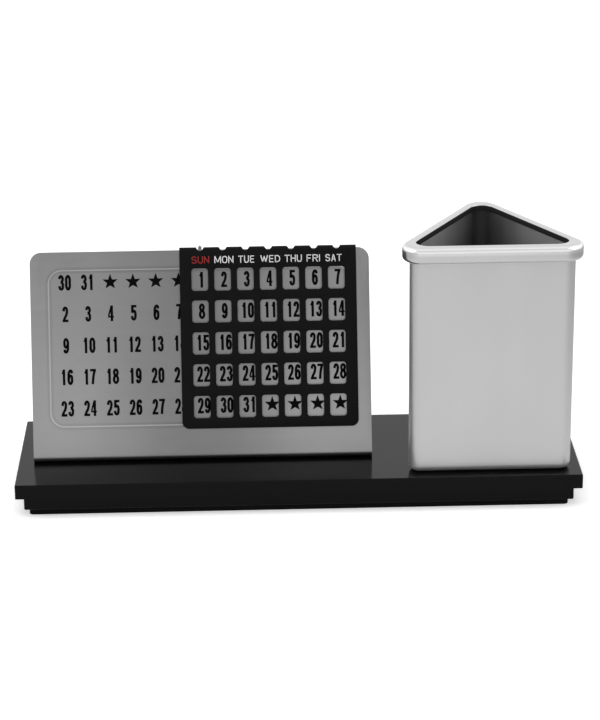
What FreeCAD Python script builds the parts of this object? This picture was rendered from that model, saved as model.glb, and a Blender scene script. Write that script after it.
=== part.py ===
"""Perpetual desk calendar with a triangular pen cup, standing side by side on a stepped base.

Millimetres. X runs along the base, +Y points to the back, Z points up, and the origin lies on
the desk under the middle of the base. Every physical piece is a body of its own; identical
screws share one body as separate solids. The calendar plate and its slider are drawn in the
plate's own frame, where the panel stands upright with its front face on the XZ plane and the
virtual corner of its foot bend at the origin. Their bodies are then leaned back together.
"""

import FreeCAD
import Part
import math
import os
import Sketcher

from FreeCAD import Placement, Rotation, Vector

SIZES = {
    # base: three layers, each one set in from the layer above it
    "board_width": 246.0,
    "board_depth": 75.0,
    "board_thickness": 6.4,
    "board_edge_chamfer": 0.35,
    "plinth_inset": 3.4,
    "plinth_thickness": 6.6,
    "plinth_edge_chamfer": 0.35,
    "pad_inset": 2.0,
    "pad_thickness": 3.0,
    "pad_corner_radius": 2.0,
    # calendar plate: one steel sheet with a tight foot bend
    "plate_side_margin": 6.75,
    "plate_front_margin": 23.6,
    "plate_width": 149.0,
    "plate_length": 93.0,
    "plate_sheet": 1.0,
    "plate_lean": 18.5,
    "plate_bend_radius": 1.3,
    "plate_corner_radius": 5.0,
    "flange_length": 34.0,
    "flange_corner_radius": 4.0,
    # stamped recess that carries the printed numbers
    "recess_side_margin": 7.5,
    "recess_top_margin": 7.6,
    "recess_bottom_margin": 15.7,
    "recess_corner_radius": 6.5,
    "recess_depth": 0.45,
    "recess_wall_slope": 22.0,
    "recess_edge_round": 2.2,
    # index tooth on the plate's top edge, a little right of the first window column
    "index_shift": 0.25,
    "tooth_rise": 2.0,
    "tooth_tip_radius": 0.25,
    "tooth_clearance": 0.2,
    # date slider: a thin sheet folded over the plate's top edge
    "slider_sheet": 0.8,
    "slider_gap": 0.25,
    "slider_fold_clearance": 0.11,
    "slider_height": 79.8,
    "slider_side_margin": 5.15,
    "slider_corner_radius": 3.0,
    "slider_lip_clearance": 0.8,
    "slider_lip_corner_radius": 2.0,
    "column_pitch": 10.0,
    "row_pitch": 14.0,
    "first_row_drop": 14.3,
    "window_width": 7.3,
    "window_height": 9.8,
    "window_corner_cut": 0.8,
    "notch_opening": 3.65,
    "notch_floor": 1.2,
    "notch_undercut": 0.5,
    # pen cup: a deep cup on an equilateral triangle with round corners, a flat side to the front
    "cup_side_margin": 4.6,
    "cup_front_margin": 5.5,
    "cup_width": 70.6,
    "cup_corner_radius": 5.0,
    "cup_wall": 0.8,
    "cup_height": 102.0,
    "cup_bottom_radius": 3.0,
    # trim ring over the cup's top edge
    "rim_overhang": 3.2,
    "rim_height": 7.3,
    "rim_cap": 1.2,
    "rim_lip": 0.6,
    "rim_lip_depth": 2.8,
    "rim_opening_radius": 5.5,
    "rim_fit": 0.15,
    "rim_top_radius": 2.7,
    "rim_bottom_chamfer": 1.3,
    "rim_inner_chamfer": 0.5,
    # screws that hold the plate's flange to the board
    "plate_screw_pitch": 55.0,
    "plate_screw_setback": 20.0,
    "plate_screw_head": 6.0,
    "plate_screw_head_height": 2.0,
    "plate_screw_shank": 2.9,
    "plate_screw_length": 6.0,
    # screw and washer that hold the cup to the board
    "cup_screw_head": 7.6,
    "cup_screw_head_height": 2.6,
    "cup_screw_shank": 3.9,
    "cup_screw_length": 7.0,
    "washer_diameter": 12.0,
    "washer_thickness": 1.0,
    # countersunk screws that join plinth and board
    "plinth_screw_side_margin": 45.0,
    "plinth_screw_head": 7.0,
    "plinth_screw_shank": 3.5,
    "plinth_screw_length": 11.0,
    # clearances shared by all screws
    "pilot_clearance": 0.1,
    "pilot_extra_depth": 0.5,
    "passage_clearance": 0.3,
}
COLUMNS = 7
ROWS = 5
PLATE_SCREWS = 3
PLINTH_SCREWS = 2
CLOSE = 0.01  # how near, in mm, an edge must lie to a place to be picked there
LEVEL = 0.0001  # how flat, in mm, an edge on one level must lie
PARALLEL = 0.000001  # how nearly an edge's unit direction must match an axis
HALF_RIGHT = 45.0  # slope, in degrees, of the pen cup's inner foot


class Size:
    """A number together with the spreadsheet expression that it comes from."""

    def __init__(self, value, text):
        self.value = value
        self.text = text

    def joined(self, sign, other, value):
        return Size(value, f"({self.text} {sign} {as_size(other).text})")

    def __add__(self, other):
        return self.joined("+", other, self.value + as_size(other).value)

    def __sub__(self, other):
        return self.joined("-", other, self.value - as_size(other).value)

    def __mul__(self, other):
        return self.joined("*", other, self.value * as_size(other).value)

    def __truediv__(self, other):
        return self.joined("/", other, self.value / as_size(other).value)

    def __rsub__(self, other):
        return as_size(other) - self

    def __neg__(self):
        return Size(-self.value, f"(0 - {self.text})")

    __radd__ = __add__
    __rmul__ = __mul__


def as_size(number):
    return number if isinstance(number, Size) else Size(number, repr(number))


def root(size):
    return Size(math.sqrt(size.value), f"sqrt({size.text})")


def sine(degrees):
    return Size(math.sin(math.radians(degrees.value)), f"sin({degrees.text})")


def cosine(degrees):
    return Size(math.cos(math.radians(degrees.value)), f"cos({degrees.text})")


def tangent(degrees):
    return Size(math.tan(math.radians(degrees.value)), f"tan({degrees.text})")


doc = FreeCAD.newDocument("DeskCalendar")
sheet = doc.addObject("Spreadsheet::Sheet", "Dimensions")
size = {}
for row, (alias, number) in enumerate(SIZES.items(), start=1):
    sheet.set(f"A{row}", alias)
    sheet.set(f"B{row}", str(number))
    sheet.setAlias(f"B{row}", alias)
    size[alias] = Size(number, f"{sheet.Name}.{alias}")
doc.recompute()


def bind(item, path, wanted):
    """Ties one property of a document object to the spreadsheet."""
    item.setExpression(path, as_size(wanted).text)


# ---- bodies and sketches ----------------------------------------------------------------------


def new_body(label, x=0.0, y=0.0, z=0.0):
    """A body whose place follows the spreadsheet."""
    body = doc.addObject("PartDesign::Body", label)
    body.Label = label
    for axis, wanted in (("x", x), ("y", y), ("z", z)):
        bind(body, f"Placement.Base.{axis}", wanted)
    return body


def lean_back(body):
    """Turns a body drawn in the plate's frame back by the plate's lean."""
    body.Placement = Placement(Vector(), Rotation(Vector(-1, 0, 0), size["plate_lean"].value))
    bind(body, "Placement.Rotation.Angle", size["plate_lean"])


def origin_feature(body, role):
    for feature in body.Origin.OriginFeatures:
        if feature.Role == role:
            return feature
    raise ValueError(role)


def new_sketch(body, name, role="XY_Plane", offset=0.0):
    """A sketch on an origin plane of its own body, shifted along that plane's normal."""
    sketch = body.newObject("Sketcher::SketchObject", name)
    sketch.AttachmentSupport = [(origin_feature(body, role), "")]
    sketch.MapMode = "FlatFace"
    bind(sketch, "AttachmentOffset.Base.z", offset)
    return sketch


def dimension(sketch, name, wanted, kind, *places):
    """A driving dimension, named and tied to the spreadsheet."""
    wanted = as_size(wanted)
    sketch.addConstraint(Sketcher.Constraint(kind, *places, wanted.value))
    sketch.renameConstraint(sketch.ConstraintCount - 1, name)
    bind(sketch, f"Constraints.{name}", wanted)


def locate(sketch, name, geometry, point, x, y):
    """Places one point of a sketch from the sketch's origin."""
    dimension(sketch, f"{name}_x", x, "DistanceX", -1, 1, geometry, point)
    dimension(sketch, f"{name}_y", y, "DistanceY", -1, 1, geometry, point)


def flat(x, y):
    return Vector(as_size(x).value, as_size(y).value, 0)


def circle(sketch, name, x, y, radius):
    index = sketch.addGeometry(Part.Circle(flat(x, y), Vector(0, 0, 1), as_size(radius).value))
    locate(sketch, name, index, 3, x, y)
    dimension(sketch, f"{name}_radius", radius, "Radius", index)


def outline(sketch, corners):
    """A closed outline through corners (x, y). A third item is the centre of the arc that
    runs anticlockwise from that corner to the next, or clockwise if a fourth item says so."""
    count = len(corners)
    for index, corner in enumerate(corners):
        start = flat(*corner[:2])
        end = flat(*corners[(index + 1) % count][:2])
        if len(corner) == 2:
            sketch.addGeometry(Part.LineSegment(start, end))
            continue
        clockwise = len(corner) == 4
        middle = flat(*corner[2])
        first, last = (end, start) if clockwise else (start, end)
        angles = [math.atan2(p.y - middle.y, p.x - middle.x) for p in (first, last)]
        rim = Part.Circle(middle, Vector(0, 0, 1), (start - middle).Length)
        sketch.addGeometry(Part.ArcOfCircle(rim, *angles))
    for index, corner in enumerate(corners):
        following = (index + 1) % count
        clockwise = len(corner) == 4
        next_clockwise = len(corners[following]) == 4
        end_point = 1 if clockwise else 2
        start_point = 2 if next_clockwise else 1
        sketch.addConstraint(
            Sketcher.Constraint("Coincident", index, end_point, following, start_point)
        )
        locate(sketch, f"corner_{index}", index, 2 if clockwise else 1, *corner[:2])
    for index, corner in enumerate(corners):
        if len(corner) > 2:
            start, end = flat(*corner[:2]), flat(*corners[(index + 1) % count][:2])
            upright = abs(end.y - start.y) > abs(end.x - start.x)
            kind, wanted = ("DistanceX", corner[2][0]) if upright else ("DistanceY", corner[2][1])
            dimension(sketch, f"centre_{index}", wanted, kind, -1, 1, index, 3)


def rectangle(sketch, width, height, x=0.0, y=0.0):
    """A rectangle about the point (x, y)."""
    left, right = x - width / 2, x + width / 2
    low, high = y - height / 2, y + height / 2
    outline(sketch, [(left, low), (right, low), (right, high), (left, high)])


def cut_rectangle(sketch, width, height, cut, x=0.0, y=0.0):
    """A rectangle about the point (x, y) whose corners are cut off at 45 degrees."""
    left, right = x - width / 2, x + width / 2
    low, high = y - height / 2, y + height / 2
    outline(
        sketch,
        [
            (left + cut, low),
            (right - cut, low),
            (right, low + cut),
            (right, high - cut),
            (right - cut, high),
            (left + cut, high),
            (left, high - cut),
            (left, low + cut),
        ],
    )


def rounded_rectangle(sketch, width, height, radius, x=0.0, y=0.0):
    """A rectangle about the point (x, y) with round corners."""
    left, right = x - width / 2, x + width / 2
    low, high = y - height / 2, y + height / 2
    in_left, in_right = left + radius, right - radius
    in_low, in_high = low + radius, high - radius
    outline(
        sketch,
        [
            (in_left, low),
            (in_right, low, (in_right, in_low)),
            (right, in_low),
            (right, in_high, (in_right, in_high)),
            (in_right, high),
            (in_left, high, (in_left, in_high)),
            (left, in_high),
            (left, in_low, (in_left, in_low)),
        ],
    )


def rounded_triangle(sketch, pitch, radius):
    """An equilateral triangle about the origin, a flat side to the front, whose round corners
    have their centres one pitch apart."""
    reach = pitch.value / math.sqrt(3)
    centres = [
        Vector(reach * math.cos(turn), reach * math.sin(turn), 0)
        for turn in (math.radians(-150), math.radians(-30), math.radians(90))
    ]
    sides = []
    for index in range(3):
        away = math.radians(-90 + 120 * index)
        step = Vector(math.cos(away), math.sin(away), 0) * radius.value
        following = centres[(index + 1) % 3]
        line = Part.LineSegment(centres[index] + step, following + step)
        sides.append(sketch.addGeometry(line))
    rounds = []
    for index in range(3):
        start = math.radians(150 + 120 * index)
        rim = Part.Circle(centres[index], Vector(0, 0, 1), radius.value)
        arc = Part.ArcOfCircle(rim, start, start + math.radians(120))
        rounds.append(sketch.addGeometry(arc))
    for index in range(3):
        following = (index + 1) % 3
        sketch.addConstraint(Sketcher.Constraint("Tangent", rounds[index], 2, sides[index], 1))
        sketch.addConstraint(Sketcher.Constraint("Tangent", sides[index], 2, rounds[following], 1))
    for index in (1, 2):
        sketch.addConstraint(Sketcher.Constraint("Equal", rounds[0], rounds[index]))
        sketch.addConstraint(Sketcher.Constraint("Equal", sides[0], sides[index]))
    sketch.addConstraint(Sketcher.Constraint("Horizontal", sides[0]))
    sketch.addConstraint(Sketcher.Constraint("PointOnObject", rounds[2], 3, -2))
    dimension(sketch, "radius", radius, "Radius", rounds[0])
    dimension(sketch, "pitch", pitch, "DistanceX", rounds[0], 3, rounds[1], 3)
    depth = -(pitch / root(as_size(12.0)))
    dimension(sketch, "front", depth, "DistanceY", -1, 1, rounds[0], 3)


# ---- features ---------------------------------------------------------------------------------


def recompute():
    doc.recompute()


def pad(body, sketch, length, name, reverse=False, both_ways=False, taper=None):
    feature = body.newObject("PartDesign::Pad", name)
    feature.Profile = sketch
    feature.Reversed = reverse
    feature.Midplane = both_ways
    bind(feature, "Length", length)
    if taper is not None:
        bind(feature, "TaperAngle", taper)
    body.Tip = feature
    recompute()
    return feature


def pocket(body, sketch, name, length=None, reverse=False, both_ways=False, taper=None):
    """A pocket that must take material away. Without a length it goes through everything."""
    before = body.Shape.Volume
    feature = body.newObject("PartDesign::Pocket", name)
    feature.Profile = sketch
    feature.Reversed = reverse
    feature.Midplane = both_ways
    if length is None:
        feature.Type = "ThroughAll"
    else:
        bind(feature, "Length", length)
    if taper is not None:
        bind(feature, "TaperAngle", taper)
    body.Tip = feature
    recompute()
    if not feature.Shape.Volume < before:
        raise RuntimeError(f"{name} removes nothing")
    return feature


def dress(body, kind, name, base, edges, amount):
    """A fillet (Radius) or a chamfer (Size) on the edges of a feature that a test picks."""
    picked = [
        f"Edge{number}" for number, edge in enumerate(base.Shape.Edges, start=1) if edges(edge)
    ]
    if not picked:
        raise RuntimeError(f"{name} finds no edge")
    feature = body.newObject(f"PartDesign::{kind}", name)
    feature.Base = (base, picked)
    bind(feature, "Radius" if kind == "Fillet" else "Size", amount)
    body.Tip = feature
    recompute()
    return feature


def pattern(body, features, name, directions):
    """Repeats features along one or two origin axes: (axis role, pitch, count), and a negative
    count for a row that runs against its axis."""
    repeated = body.newObject("PartDesign::LinearPattern", name)
    repeated.Originals = features
    for suffix, (role, pitch, count) in zip(("", "2"), directions):
        setattr(repeated, f"Direction{suffix}", (origin_feature(body, role), [""]))
        setattr(repeated, f"Mode{suffix}", "Extent")
        setattr(repeated, f"Reversed{suffix}", count < 0)
        setattr(repeated, f"Occurrences{suffix}", abs(count))
        bind(repeated, f"Length{suffix}", pitch * (abs(count) - 1))
    body.Tip = repeated
    recompute()
    return repeated


def on_level(edge, axis, level):
    """True if the whole edge lies where the coordinate along the axis has this value."""
    box = edge.BoundBox
    low, high = getattr(box, f"{axis}Min"), getattr(box, f"{axis}Max")
    return abs(low - level.value) < LEVEL and abs(high - level.value) < LEVEL


def runs_along(edge, axis):
    """True if the edge is straight and parallel to the axis."""
    if edge.Curve.TypeId != "Part::GeomLine":
        return False
    return abs(abs(getattr(edge.Curve.Direction, axis)) - 1) < PARALLEL


# ---- base -------------------------------------------------------------------------------------

plinth_width = size["board_width"] - 2 * size["plinth_inset"]
plinth_depth = size["board_depth"] - 2 * size["plinth_inset"]
plinth_level = size["pad_thickness"]
board_level = plinth_level + size["plinth_thickness"]
base_top = board_level + size["board_thickness"]

plate_x = size["plate_side_margin"] + size["plate_width"] / 2 - size["board_width"] / 2
plate_y = size["plate_front_margin"] - size["board_depth"] / 2
plate_screw_reach = size["plate_screw_pitch"] * ((PLATE_SCREWS - 1) / 2)
plate_screw_row = [("X_Axis", size["plate_screw_pitch"], PLATE_SCREWS)]

corner_pitch = size["cup_width"] - 2 * size["cup_corner_radius"]
cup_x = size["board_width"] / 2 - size["cup_side_margin"] - size["cup_width"] / 2
cup_front = corner_pitch / root(as_size(12.0)) + size["cup_corner_radius"]
cup_y = size["cup_front_margin"] + cup_front - size["board_depth"] / 2

plinth_screw_x = size["board_width"] / 2 - size["plinth_screw_side_margin"]
plinth_screw_row = [("X_Axis", 2 * plinth_screw_x / (PLINTH_SCREWS - 1), PLINTH_SCREWS)]
plinth_screw_bite = size["plinth_screw_length"] - size["plinth_thickness"]


def pilot_radius(shank):
    return shank / 2 + size["pilot_clearance"]


def passage_radius(shank):
    return shank / 2 + size["passage_clearance"]


def make_base_board():
    """The wide top board, with a pilot hole under each screw."""
    body = new_body("base_board", z=board_level)
    plan = new_sketch(body, "board_plan")
    rectangle(plan, size["board_width"], size["board_depth"])
    board = pad(body, plan, size["board_thickness"], "board")
    top = size["board_thickness"]
    board = dress(
        body, "Chamfer", "board_edges", board,
        lambda edge: runs_along(edge, "z") or on_level(edge, "Z", top),
        size["board_edge_chamfer"],
    )

    plate_bite = size["plate_screw_length"] - size["plate_sheet"] + size["pilot_extra_depth"]
    plate_pilot = new_sketch(body, "plate_pilot_plan", offset=top)
    circle(
        plate_pilot, "pilot",
        plate_x - plate_screw_reach,
        plate_y + size["plate_screw_setback"],
        pilot_radius(size["plate_screw_shank"]),
    )
    first = pocket(body, plate_pilot, "plate_pilot", plate_bite)
    pattern(body, [first], "plate_pilots", plate_screw_row)

    stack = size["cup_wall"] + size["washer_thickness"]
    cup_bite = size["cup_screw_length"] - stack + size["pilot_extra_depth"]
    cup_pilot = new_sketch(body, "cup_pilot_plan", offset=top)
    circle(cup_pilot, "pilot", cup_x, cup_y, pilot_radius(size["cup_screw_shank"]))
    pocket(body, cup_pilot, "cup_pilot", cup_bite)

    under = new_sketch(body, "plinth_pilot_plan")
    circle(under, "pilot", -plinth_screw_x, 0.0, pilot_radius(size["plinth_screw_shank"]))
    depth = plinth_screw_bite + size["pilot_extra_depth"]
    first = pocket(body, under, "plinth_pilot", depth, reverse=True)
    pattern(body, [first], "plinth_pilots", plinth_screw_row)


def make_base_plinth():
    """The second layer, with a countersunk hole for each screw in its underside."""
    body = new_body("base_plinth", z=plinth_level)
    plan = new_sketch(body, "plinth_plan")
    rectangle(plan, plinth_width, plinth_depth)
    plinth = pad(body, plan, size["plinth_thickness"], "plinth")
    dress(
        body, "Chamfer", "plinth_edges", plinth,
        lambda edge: runs_along(edge, "z") or on_level(edge, "Z", as_size(0.0)),
        size["plinth_edge_chamfer"],
    )
    head = size["plinth_screw_head"] / 2 + size["pilot_clearance"]
    shank = passage_radius(size["plinth_screw_shank"])
    section = new_sketch(body, "countersink_section", "XZ_Plane")
    outline(
        section,
        [
            (-plinth_screw_x, 0.0),
            (head - plinth_screw_x, 0.0),
            (shank - plinth_screw_x, head - shank),
            (shank - plinth_screw_x, size["plinth_thickness"]),
            (-plinth_screw_x, size["plinth_thickness"]),
        ],
    )
    before = body.Shape.Volume
    cut = body.newObject("PartDesign::Groove", "countersunk_hole")
    cut.Profile = section
    cut.ReferenceAxis = (section, ["Edge5"])
    cut.Angle = 360
    body.Tip = cut
    recompute()
    if not cut.Shape.Volume < before:
        raise RuntimeError("the countersunk hole removes nothing")
    pattern(body, [cut], "countersunk_holes", plinth_screw_row)


def make_base_pad():
    """The thin pad that stands on the desk."""
    body = new_body("base_pad")
    plan = new_sketch(body, "pad_plan")
    rounded_rectangle(
        plan,
        plinth_width - 2 * size["pad_inset"],
        plinth_depth - 2 * size["pad_inset"],
        size["pad_corner_radius"],
    )
    pad(body, plan, size["pad_thickness"], "pad")


# ---- calendar plate ---------------------------------------------------------------------------

lean = size["plate_lean"]
recess_width = size["plate_width"] - 2 * size["recess_side_margin"]
recess_top = size["plate_length"] - size["recess_top_margin"]
recess_height = recess_top - size["recess_bottom_margin"]
recess_middle = (recess_top + size["recess_bottom_margin"]) / 2
recess_spread = size["plate_sheet"] * tangent(size["recess_wall_slope"] / 2)

fold_centre_y = size["plate_sheet"] / 2
fold_inner_radius = size["plate_sheet"] / 2 + size["slider_gap"]
fold_outer_radius = fold_inner_radius + size["slider_sheet"]
fold_reach = fold_inner_radius - size["slider_fold_clearance"]
fold_seat = root(fold_reach * fold_reach - fold_centre_y * fold_centre_y)
fold_level = size["plate_length"] - fold_seat
slider_top = fold_level + fold_outer_radius

notch_bottom = size["plate_length"] - size["notch_undercut"]
notch_flare = (size["notch_opening"] - size["notch_floor"]) / 2 / (slider_top - notch_bottom)
tooth_half_width = (
    size["notch_floor"] / 2 + notch_flare * size["notch_undercut"] - size["tooth_clearance"]
)


def plate_section(sketch):
    """The sheet's side view: the upright panel, the foot bend and the flange."""
    sheet_thickness = size["plate_sheet"]
    inner = size["plate_bend_radius"]
    outer = inner + sheet_thickness
    along_y, along_z = cosine(lean), sine(lean)
    centre_z = outer * (1 + along_z) / along_y
    centre = (outer, centre_z)
    outer_end = (outer + outer * along_z, centre_z - outer * along_y)
    inner_end = (outer + inner * along_z, centre_z - inner * along_y)
    tip_low = (size["flange_length"] * along_y, size["flange_length"] * along_z)
    tip_high = (
        tip_low[0] - sheet_thickness * along_z,
        tip_low[1] + sheet_thickness * along_y,
    )
    outline(
        sketch,
        [
            (0.0, size["plate_length"]),
            (0.0, centre_z, centre),
            outer_end,
            tip_low,
            tip_high,
            (*inner_end, centre, "clockwise"),
            (sheet_thickness, centre_z),
            (sheet_thickness, size["plate_length"]),
        ],
    )


def make_calendar_plate():
    """The leaning panel with its stamped recess, its index tooth and its foot flange."""
    body = new_body("calendar_plate", plate_x, plate_y, base_top)
    lean_back(body)
    section = new_sketch(body, "plate_section", "YZ_Plane")
    plate_section(section)
    plate = pad(body, section, size["plate_width"], "bent_sheet", both_ways=True)

    top, thickness = size["plate_length"], size["plate_sheet"]
    plate = dress(
        body, "Fillet", "panel_corners", plate,
        lambda edge: runs_along(edge, "y") and on_level(edge, "Z", top),
        size["plate_corner_radius"],
    )
    flange_end = (size["flange_length"] * cosine(lean)).value
    dress(
        body, "Fillet", "flange_corners", plate,
        lambda edge: edge.BoundBox.YMax > flange_end - CLOSE
        and abs(edge.Length - thickness.value) < CLOSE,
        size["flange_corner_radius"],
    )

    # the stamping pushes the sheet out at the back and in at the front
    bulge = new_sketch(body, "bulge_outline", "XZ_Plane", -thickness)
    rounded_rectangle(
        bulge, recess_width + 2 * recess_spread, recess_height + 2 * recess_spread,
        size["recess_corner_radius"] + recess_spread, y=recess_middle,
    )
    draft = size["recess_wall_slope"] - 90.0
    pad(body, bulge, size["recess_depth"], "bulge", reverse=True, taper=draft)
    recess = new_sketch(body, "recess_outline", "XZ_Plane")
    rounded_rectangle(
        recess, recess_width, recess_height, size["recess_corner_radius"], y=recess_middle
    )
    pocket(body, recess, "recess", size["recess_depth"], taper=draft)
    soften_recess(body)
    add_index_tooth(body)
    drill_flange(body)


def soften_recess(body):
    """Rounds the front's two edge loops of the stamping, which a press leaves soft."""
    reach_x = (recess_width / 2 + CLOSE).value
    low_z, high_z = size["recess_bottom_margin"].value - CLOSE, recess_top.value + CLOSE

    def on_stamping(edge):
        box = edge.BoundBox
        inside = box.ZMin > low_z and box.ZMax < high_z
        inside = inside and box.XMin > -reach_x and box.XMax < reach_x
        return inside and (
            on_level(edge, "Y", as_size(0.0)) or on_level(edge, "Y", size["recess_depth"])
        )

    dress(body, "Fillet", "soft_stamping", body.Tip, on_stamping, size["recess_edge_round"])


def add_index_tooth(body):
    """The small tooth that stands up into one notch of the slider and ends in a right angle."""
    top, middle = size["plate_length"], size["index_shift"]
    left, right = middle - tooth_half_width, middle + tooth_half_width
    tip = top + size["tooth_rise"]
    shoulder = tip - tooth_half_width
    sketch = new_sketch(body, "tooth_outline", "XZ_Plane")
    outline(
        sketch, [(left, top), (right, top), (right, shoulder), (middle, tip), (left, shoulder)]
    )
    tooth = pad(body, sketch, size["plate_sheet"], "index_tooth", reverse=True)
    dress(
        body, "Fillet", "tooth_tip", tooth,
        lambda edge: on_level(edge, "Z", tip),
        size["tooth_tip_radius"],
    )


def drill_flange(body):
    """Screw holes square through the flange, whose underside leans in the plate's frame."""
    sketch = new_sketch(body, "flange_hole_plan")
    sketch.AttachmentOffset = Placement(Vector(), Rotation(Vector(1, 0, 0), lean.value))
    bind(sketch, "AttachmentOffset.Rotation.Angle", lean)
    circle(
        sketch, "hole",
        -plate_screw_reach,
        size["plate_screw_setback"],
        passage_radius(size["plate_screw_shank"]),
    )
    hole = pocket(body, sketch, "flange_hole", size["plate_sheet"], reverse=True)
    pattern(body, [hole], "flange_holes", plate_screw_row)


# ---- date slider ------------------------------------------------------------------------------

window_span = (COLUMNS - 1) * size["column_pitch"]
slider_width = window_span + size["window_width"] + 2 * size["slider_side_margin"]
slider_bottom = slider_top - size["slider_height"]
lip_bottom = recess_top + recess_spread + size["slider_lip_clearance"]


def slider_section(sketch):
    """The slider's side view: a long front leg, the fold and a short lip at the back."""
    centre = (fold_centre_y, fold_level)
    front_out = fold_centre_y - fold_outer_radius
    front_in = fold_centre_y - fold_inner_radius
    back_in = fold_centre_y + fold_inner_radius
    back_out = fold_centre_y + fold_outer_radius
    outline(
        sketch,
        [
            (front_out, slider_bottom),
            (front_in, slider_bottom),
            (front_in, fold_level, centre, "clockwise"),
            (back_in, fold_level),
            (back_in, lip_bottom),
            (back_out, lip_bottom),
            (back_out, fold_level, centre),
            (front_out, fold_level),
        ],
    )


def make_date_slider():
    """The window slider, drawn with its first window column over the index tooth."""
    body = new_body("date_slider", plate_x, plate_y, base_top)
    lean_back(body)
    section = new_sketch(body, "slider_section", "YZ_Plane", window_span / 2)
    slider_section(section)
    folded = pad(body, section, slider_width, "folded_sheet", both_ways=True)
    folded = dress(
        body, "Fillet", "front_corners", folded,
        lambda edge: runs_along(edge, "y") and on_level(edge, "Z", slider_bottom),
        size["slider_corner_radius"],
    )
    dress(
        body, "Fillet", "lip_corners", folded,
        lambda edge: runs_along(edge, "y") and on_level(edge, "Z", lip_bottom),
        size["slider_lip_corner_radius"],
    )

    # the windows cut the front leg only
    first_row = slider_top - size["first_row_drop"]
    pane = new_sketch(body, "window_outline", "XZ_Plane")
    cut_rectangle(
        pane, size["window_width"], size["window_height"], size["window_corner_cut"],
        y=first_row,
    )
    reach = size["slider_gap"] + size["slider_sheet"]
    window = pocket(body, pane, "window", reach, reverse=True)
    grid = [("X_Axis", size["column_pitch"], COLUMNS), ("Z_Axis", size["row_pitch"], -ROWS)]
    pattern(body, [window], "windows", grid)

    # the notches cut the whole fold
    bite = new_sketch(body, "notch_outline", "XZ_Plane")
    floor, opening = size["notch_floor"] / 2, size["notch_opening"] / 2
    middle = size["index_shift"]
    outline(
        bite,
        [
            (middle - floor, notch_bottom),
            (middle + floor, notch_bottom),
            (middle + opening, slider_top),
            (middle - opening, slider_top),
        ],
    )
    notch = pocket(body, bite, "notch", both_ways=True)
    pattern(body, [notch], "notches", [("X_Axis", size["column_pitch"], COLUMNS)])


# ---- pen cup ----------------------------------------------------------------------------------


def make_pen_cup():
    """The triangular cup: a prism with a round foot, hollowed down to a floor of one wall."""
    body = new_body("pen_cup", cup_x, cup_y, base_top)
    wall = size["cup_wall"]
    # a half right slope this high leaves one wall's thickness behind the round foot
    slope_height = (2 - root(as_size(2.0))) * (size["cup_bottom_radius"] - wall)
    slope_level = wall + slope_height
    plan = new_sketch(body, "cup_plan")
    rounded_triangle(plan, corner_pitch, size["cup_corner_radius"])
    prism = pad(body, plan, size["cup_height"], "prism")
    dress(
        body, "Fillet", "round_foot", prism,
        lambda edge: on_level(edge, "Z", as_size(0.0)),
        size["cup_bottom_radius"],
    )
    hollow = new_sketch(body, "hollow_plan", offset=slope_level)
    rounded_triangle(hollow, corner_pitch, size["cup_corner_radius"] - wall)
    pocket(body, hollow, "hollow", size["cup_height"] - slope_level, reverse=True)
    inner_foot = new_sketch(body, "inner_foot_plan", offset=slope_level)
    rounded_triangle(inner_foot, corner_pitch, size["cup_corner_radius"] - wall)
    pocket(body, inner_foot, "inner_foot", slope_height, taper=-HALF_RIGHT)
    floor_hole = new_sketch(body, "floor_hole_plan")
    circle(floor_hole, "hole", 0.0, 0.0, passage_radius(size["cup_screw_shank"]))
    pocket(body, floor_hole, "floor_hole", wall, reverse=True)


# the opening's sides lie this far inside the cup's wall face
rim_opening_inset = size["cup_wall"] + size["rim_fit"] + size["rim_lip"]


def rim_section(sketch):
    """The trim ring's cut: an outer bead, a slot for the cup's wall and a broad inner lip."""
    wall_face = -cup_front
    outer = wall_face - size["rim_overhang"]
    slot_out = wall_face - size["rim_fit"]
    slot_in = wall_face + size["cup_wall"] + size["rim_fit"]
    # broad enough for the opening's rounder corners to be cut from it
    corner_gap = size["rim_opening_radius"] - size["cup_corner_radius"]
    inner = wall_face + 2 * rim_opening_inset + corner_gap + size["rim_fit"]
    slot_top = size["cup_height"]
    top = slot_top + size["rim_cap"]
    bottom = top - size["rim_height"]
    lip_end = top - size["rim_lip_depth"]
    rounding, low = size["rim_top_radius"], size["rim_bottom_chamfer"]
    outline(
        sketch,
        [
            (slot_out, bottom),
            (slot_out, slot_top),
            (slot_in, slot_top),
            (slot_in, lip_end),
            (inner, lip_end),
            (inner, top),
            (outer + rounding, top, (outer + rounding, top - rounding)),
            (outer, top - rounding),
            (outer, bottom + low),
            (outer + low, bottom),
        ],
    )


def make_cup_rim():
    """The trim ring, swept once round the cup's outline and opened with rounder corners."""
    body = new_body("cup_rim", cup_x, cup_y, base_top)
    path = new_sketch(body, "rim_path", offset=size["cup_height"])
    rounded_triangle(path, corner_pitch, size["cup_corner_radius"])
    section = new_sketch(body, "rim_section", "YZ_Plane")
    rim_section(section)
    recompute()
    ring = body.newObject("PartDesign::AdditivePipe", "ring")
    ring.Profile = section
    ring.Spine = (path, [f"Edge{number}" for number in range(1, 7)])
    ring.Transition = "Round corner"
    body.Tip = ring
    recompute()

    top = size["cup_height"] + size["rim_cap"]
    reach = cup_front - rim_opening_inset
    radius = size["rim_opening_radius"]
    opening_pitch = (reach - radius) * root(as_size(12.0))
    plan = new_sketch(body, "opening_plan", offset=top)
    rounded_triangle(plan, opening_pitch, radius)
    opening = pocket(body, plan, "opening", size["rim_lip_depth"])
    dress(
        body, "Chamfer", "inner_edge", opening,
        lambda edge: on_level(edge, "Z", top) and edge.BoundBox.YMin > -reach.value - CLOSE,
        size["rim_inner_chamfer"],
    )


# ---- screws -----------------------------------------------------------------------------------


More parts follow.
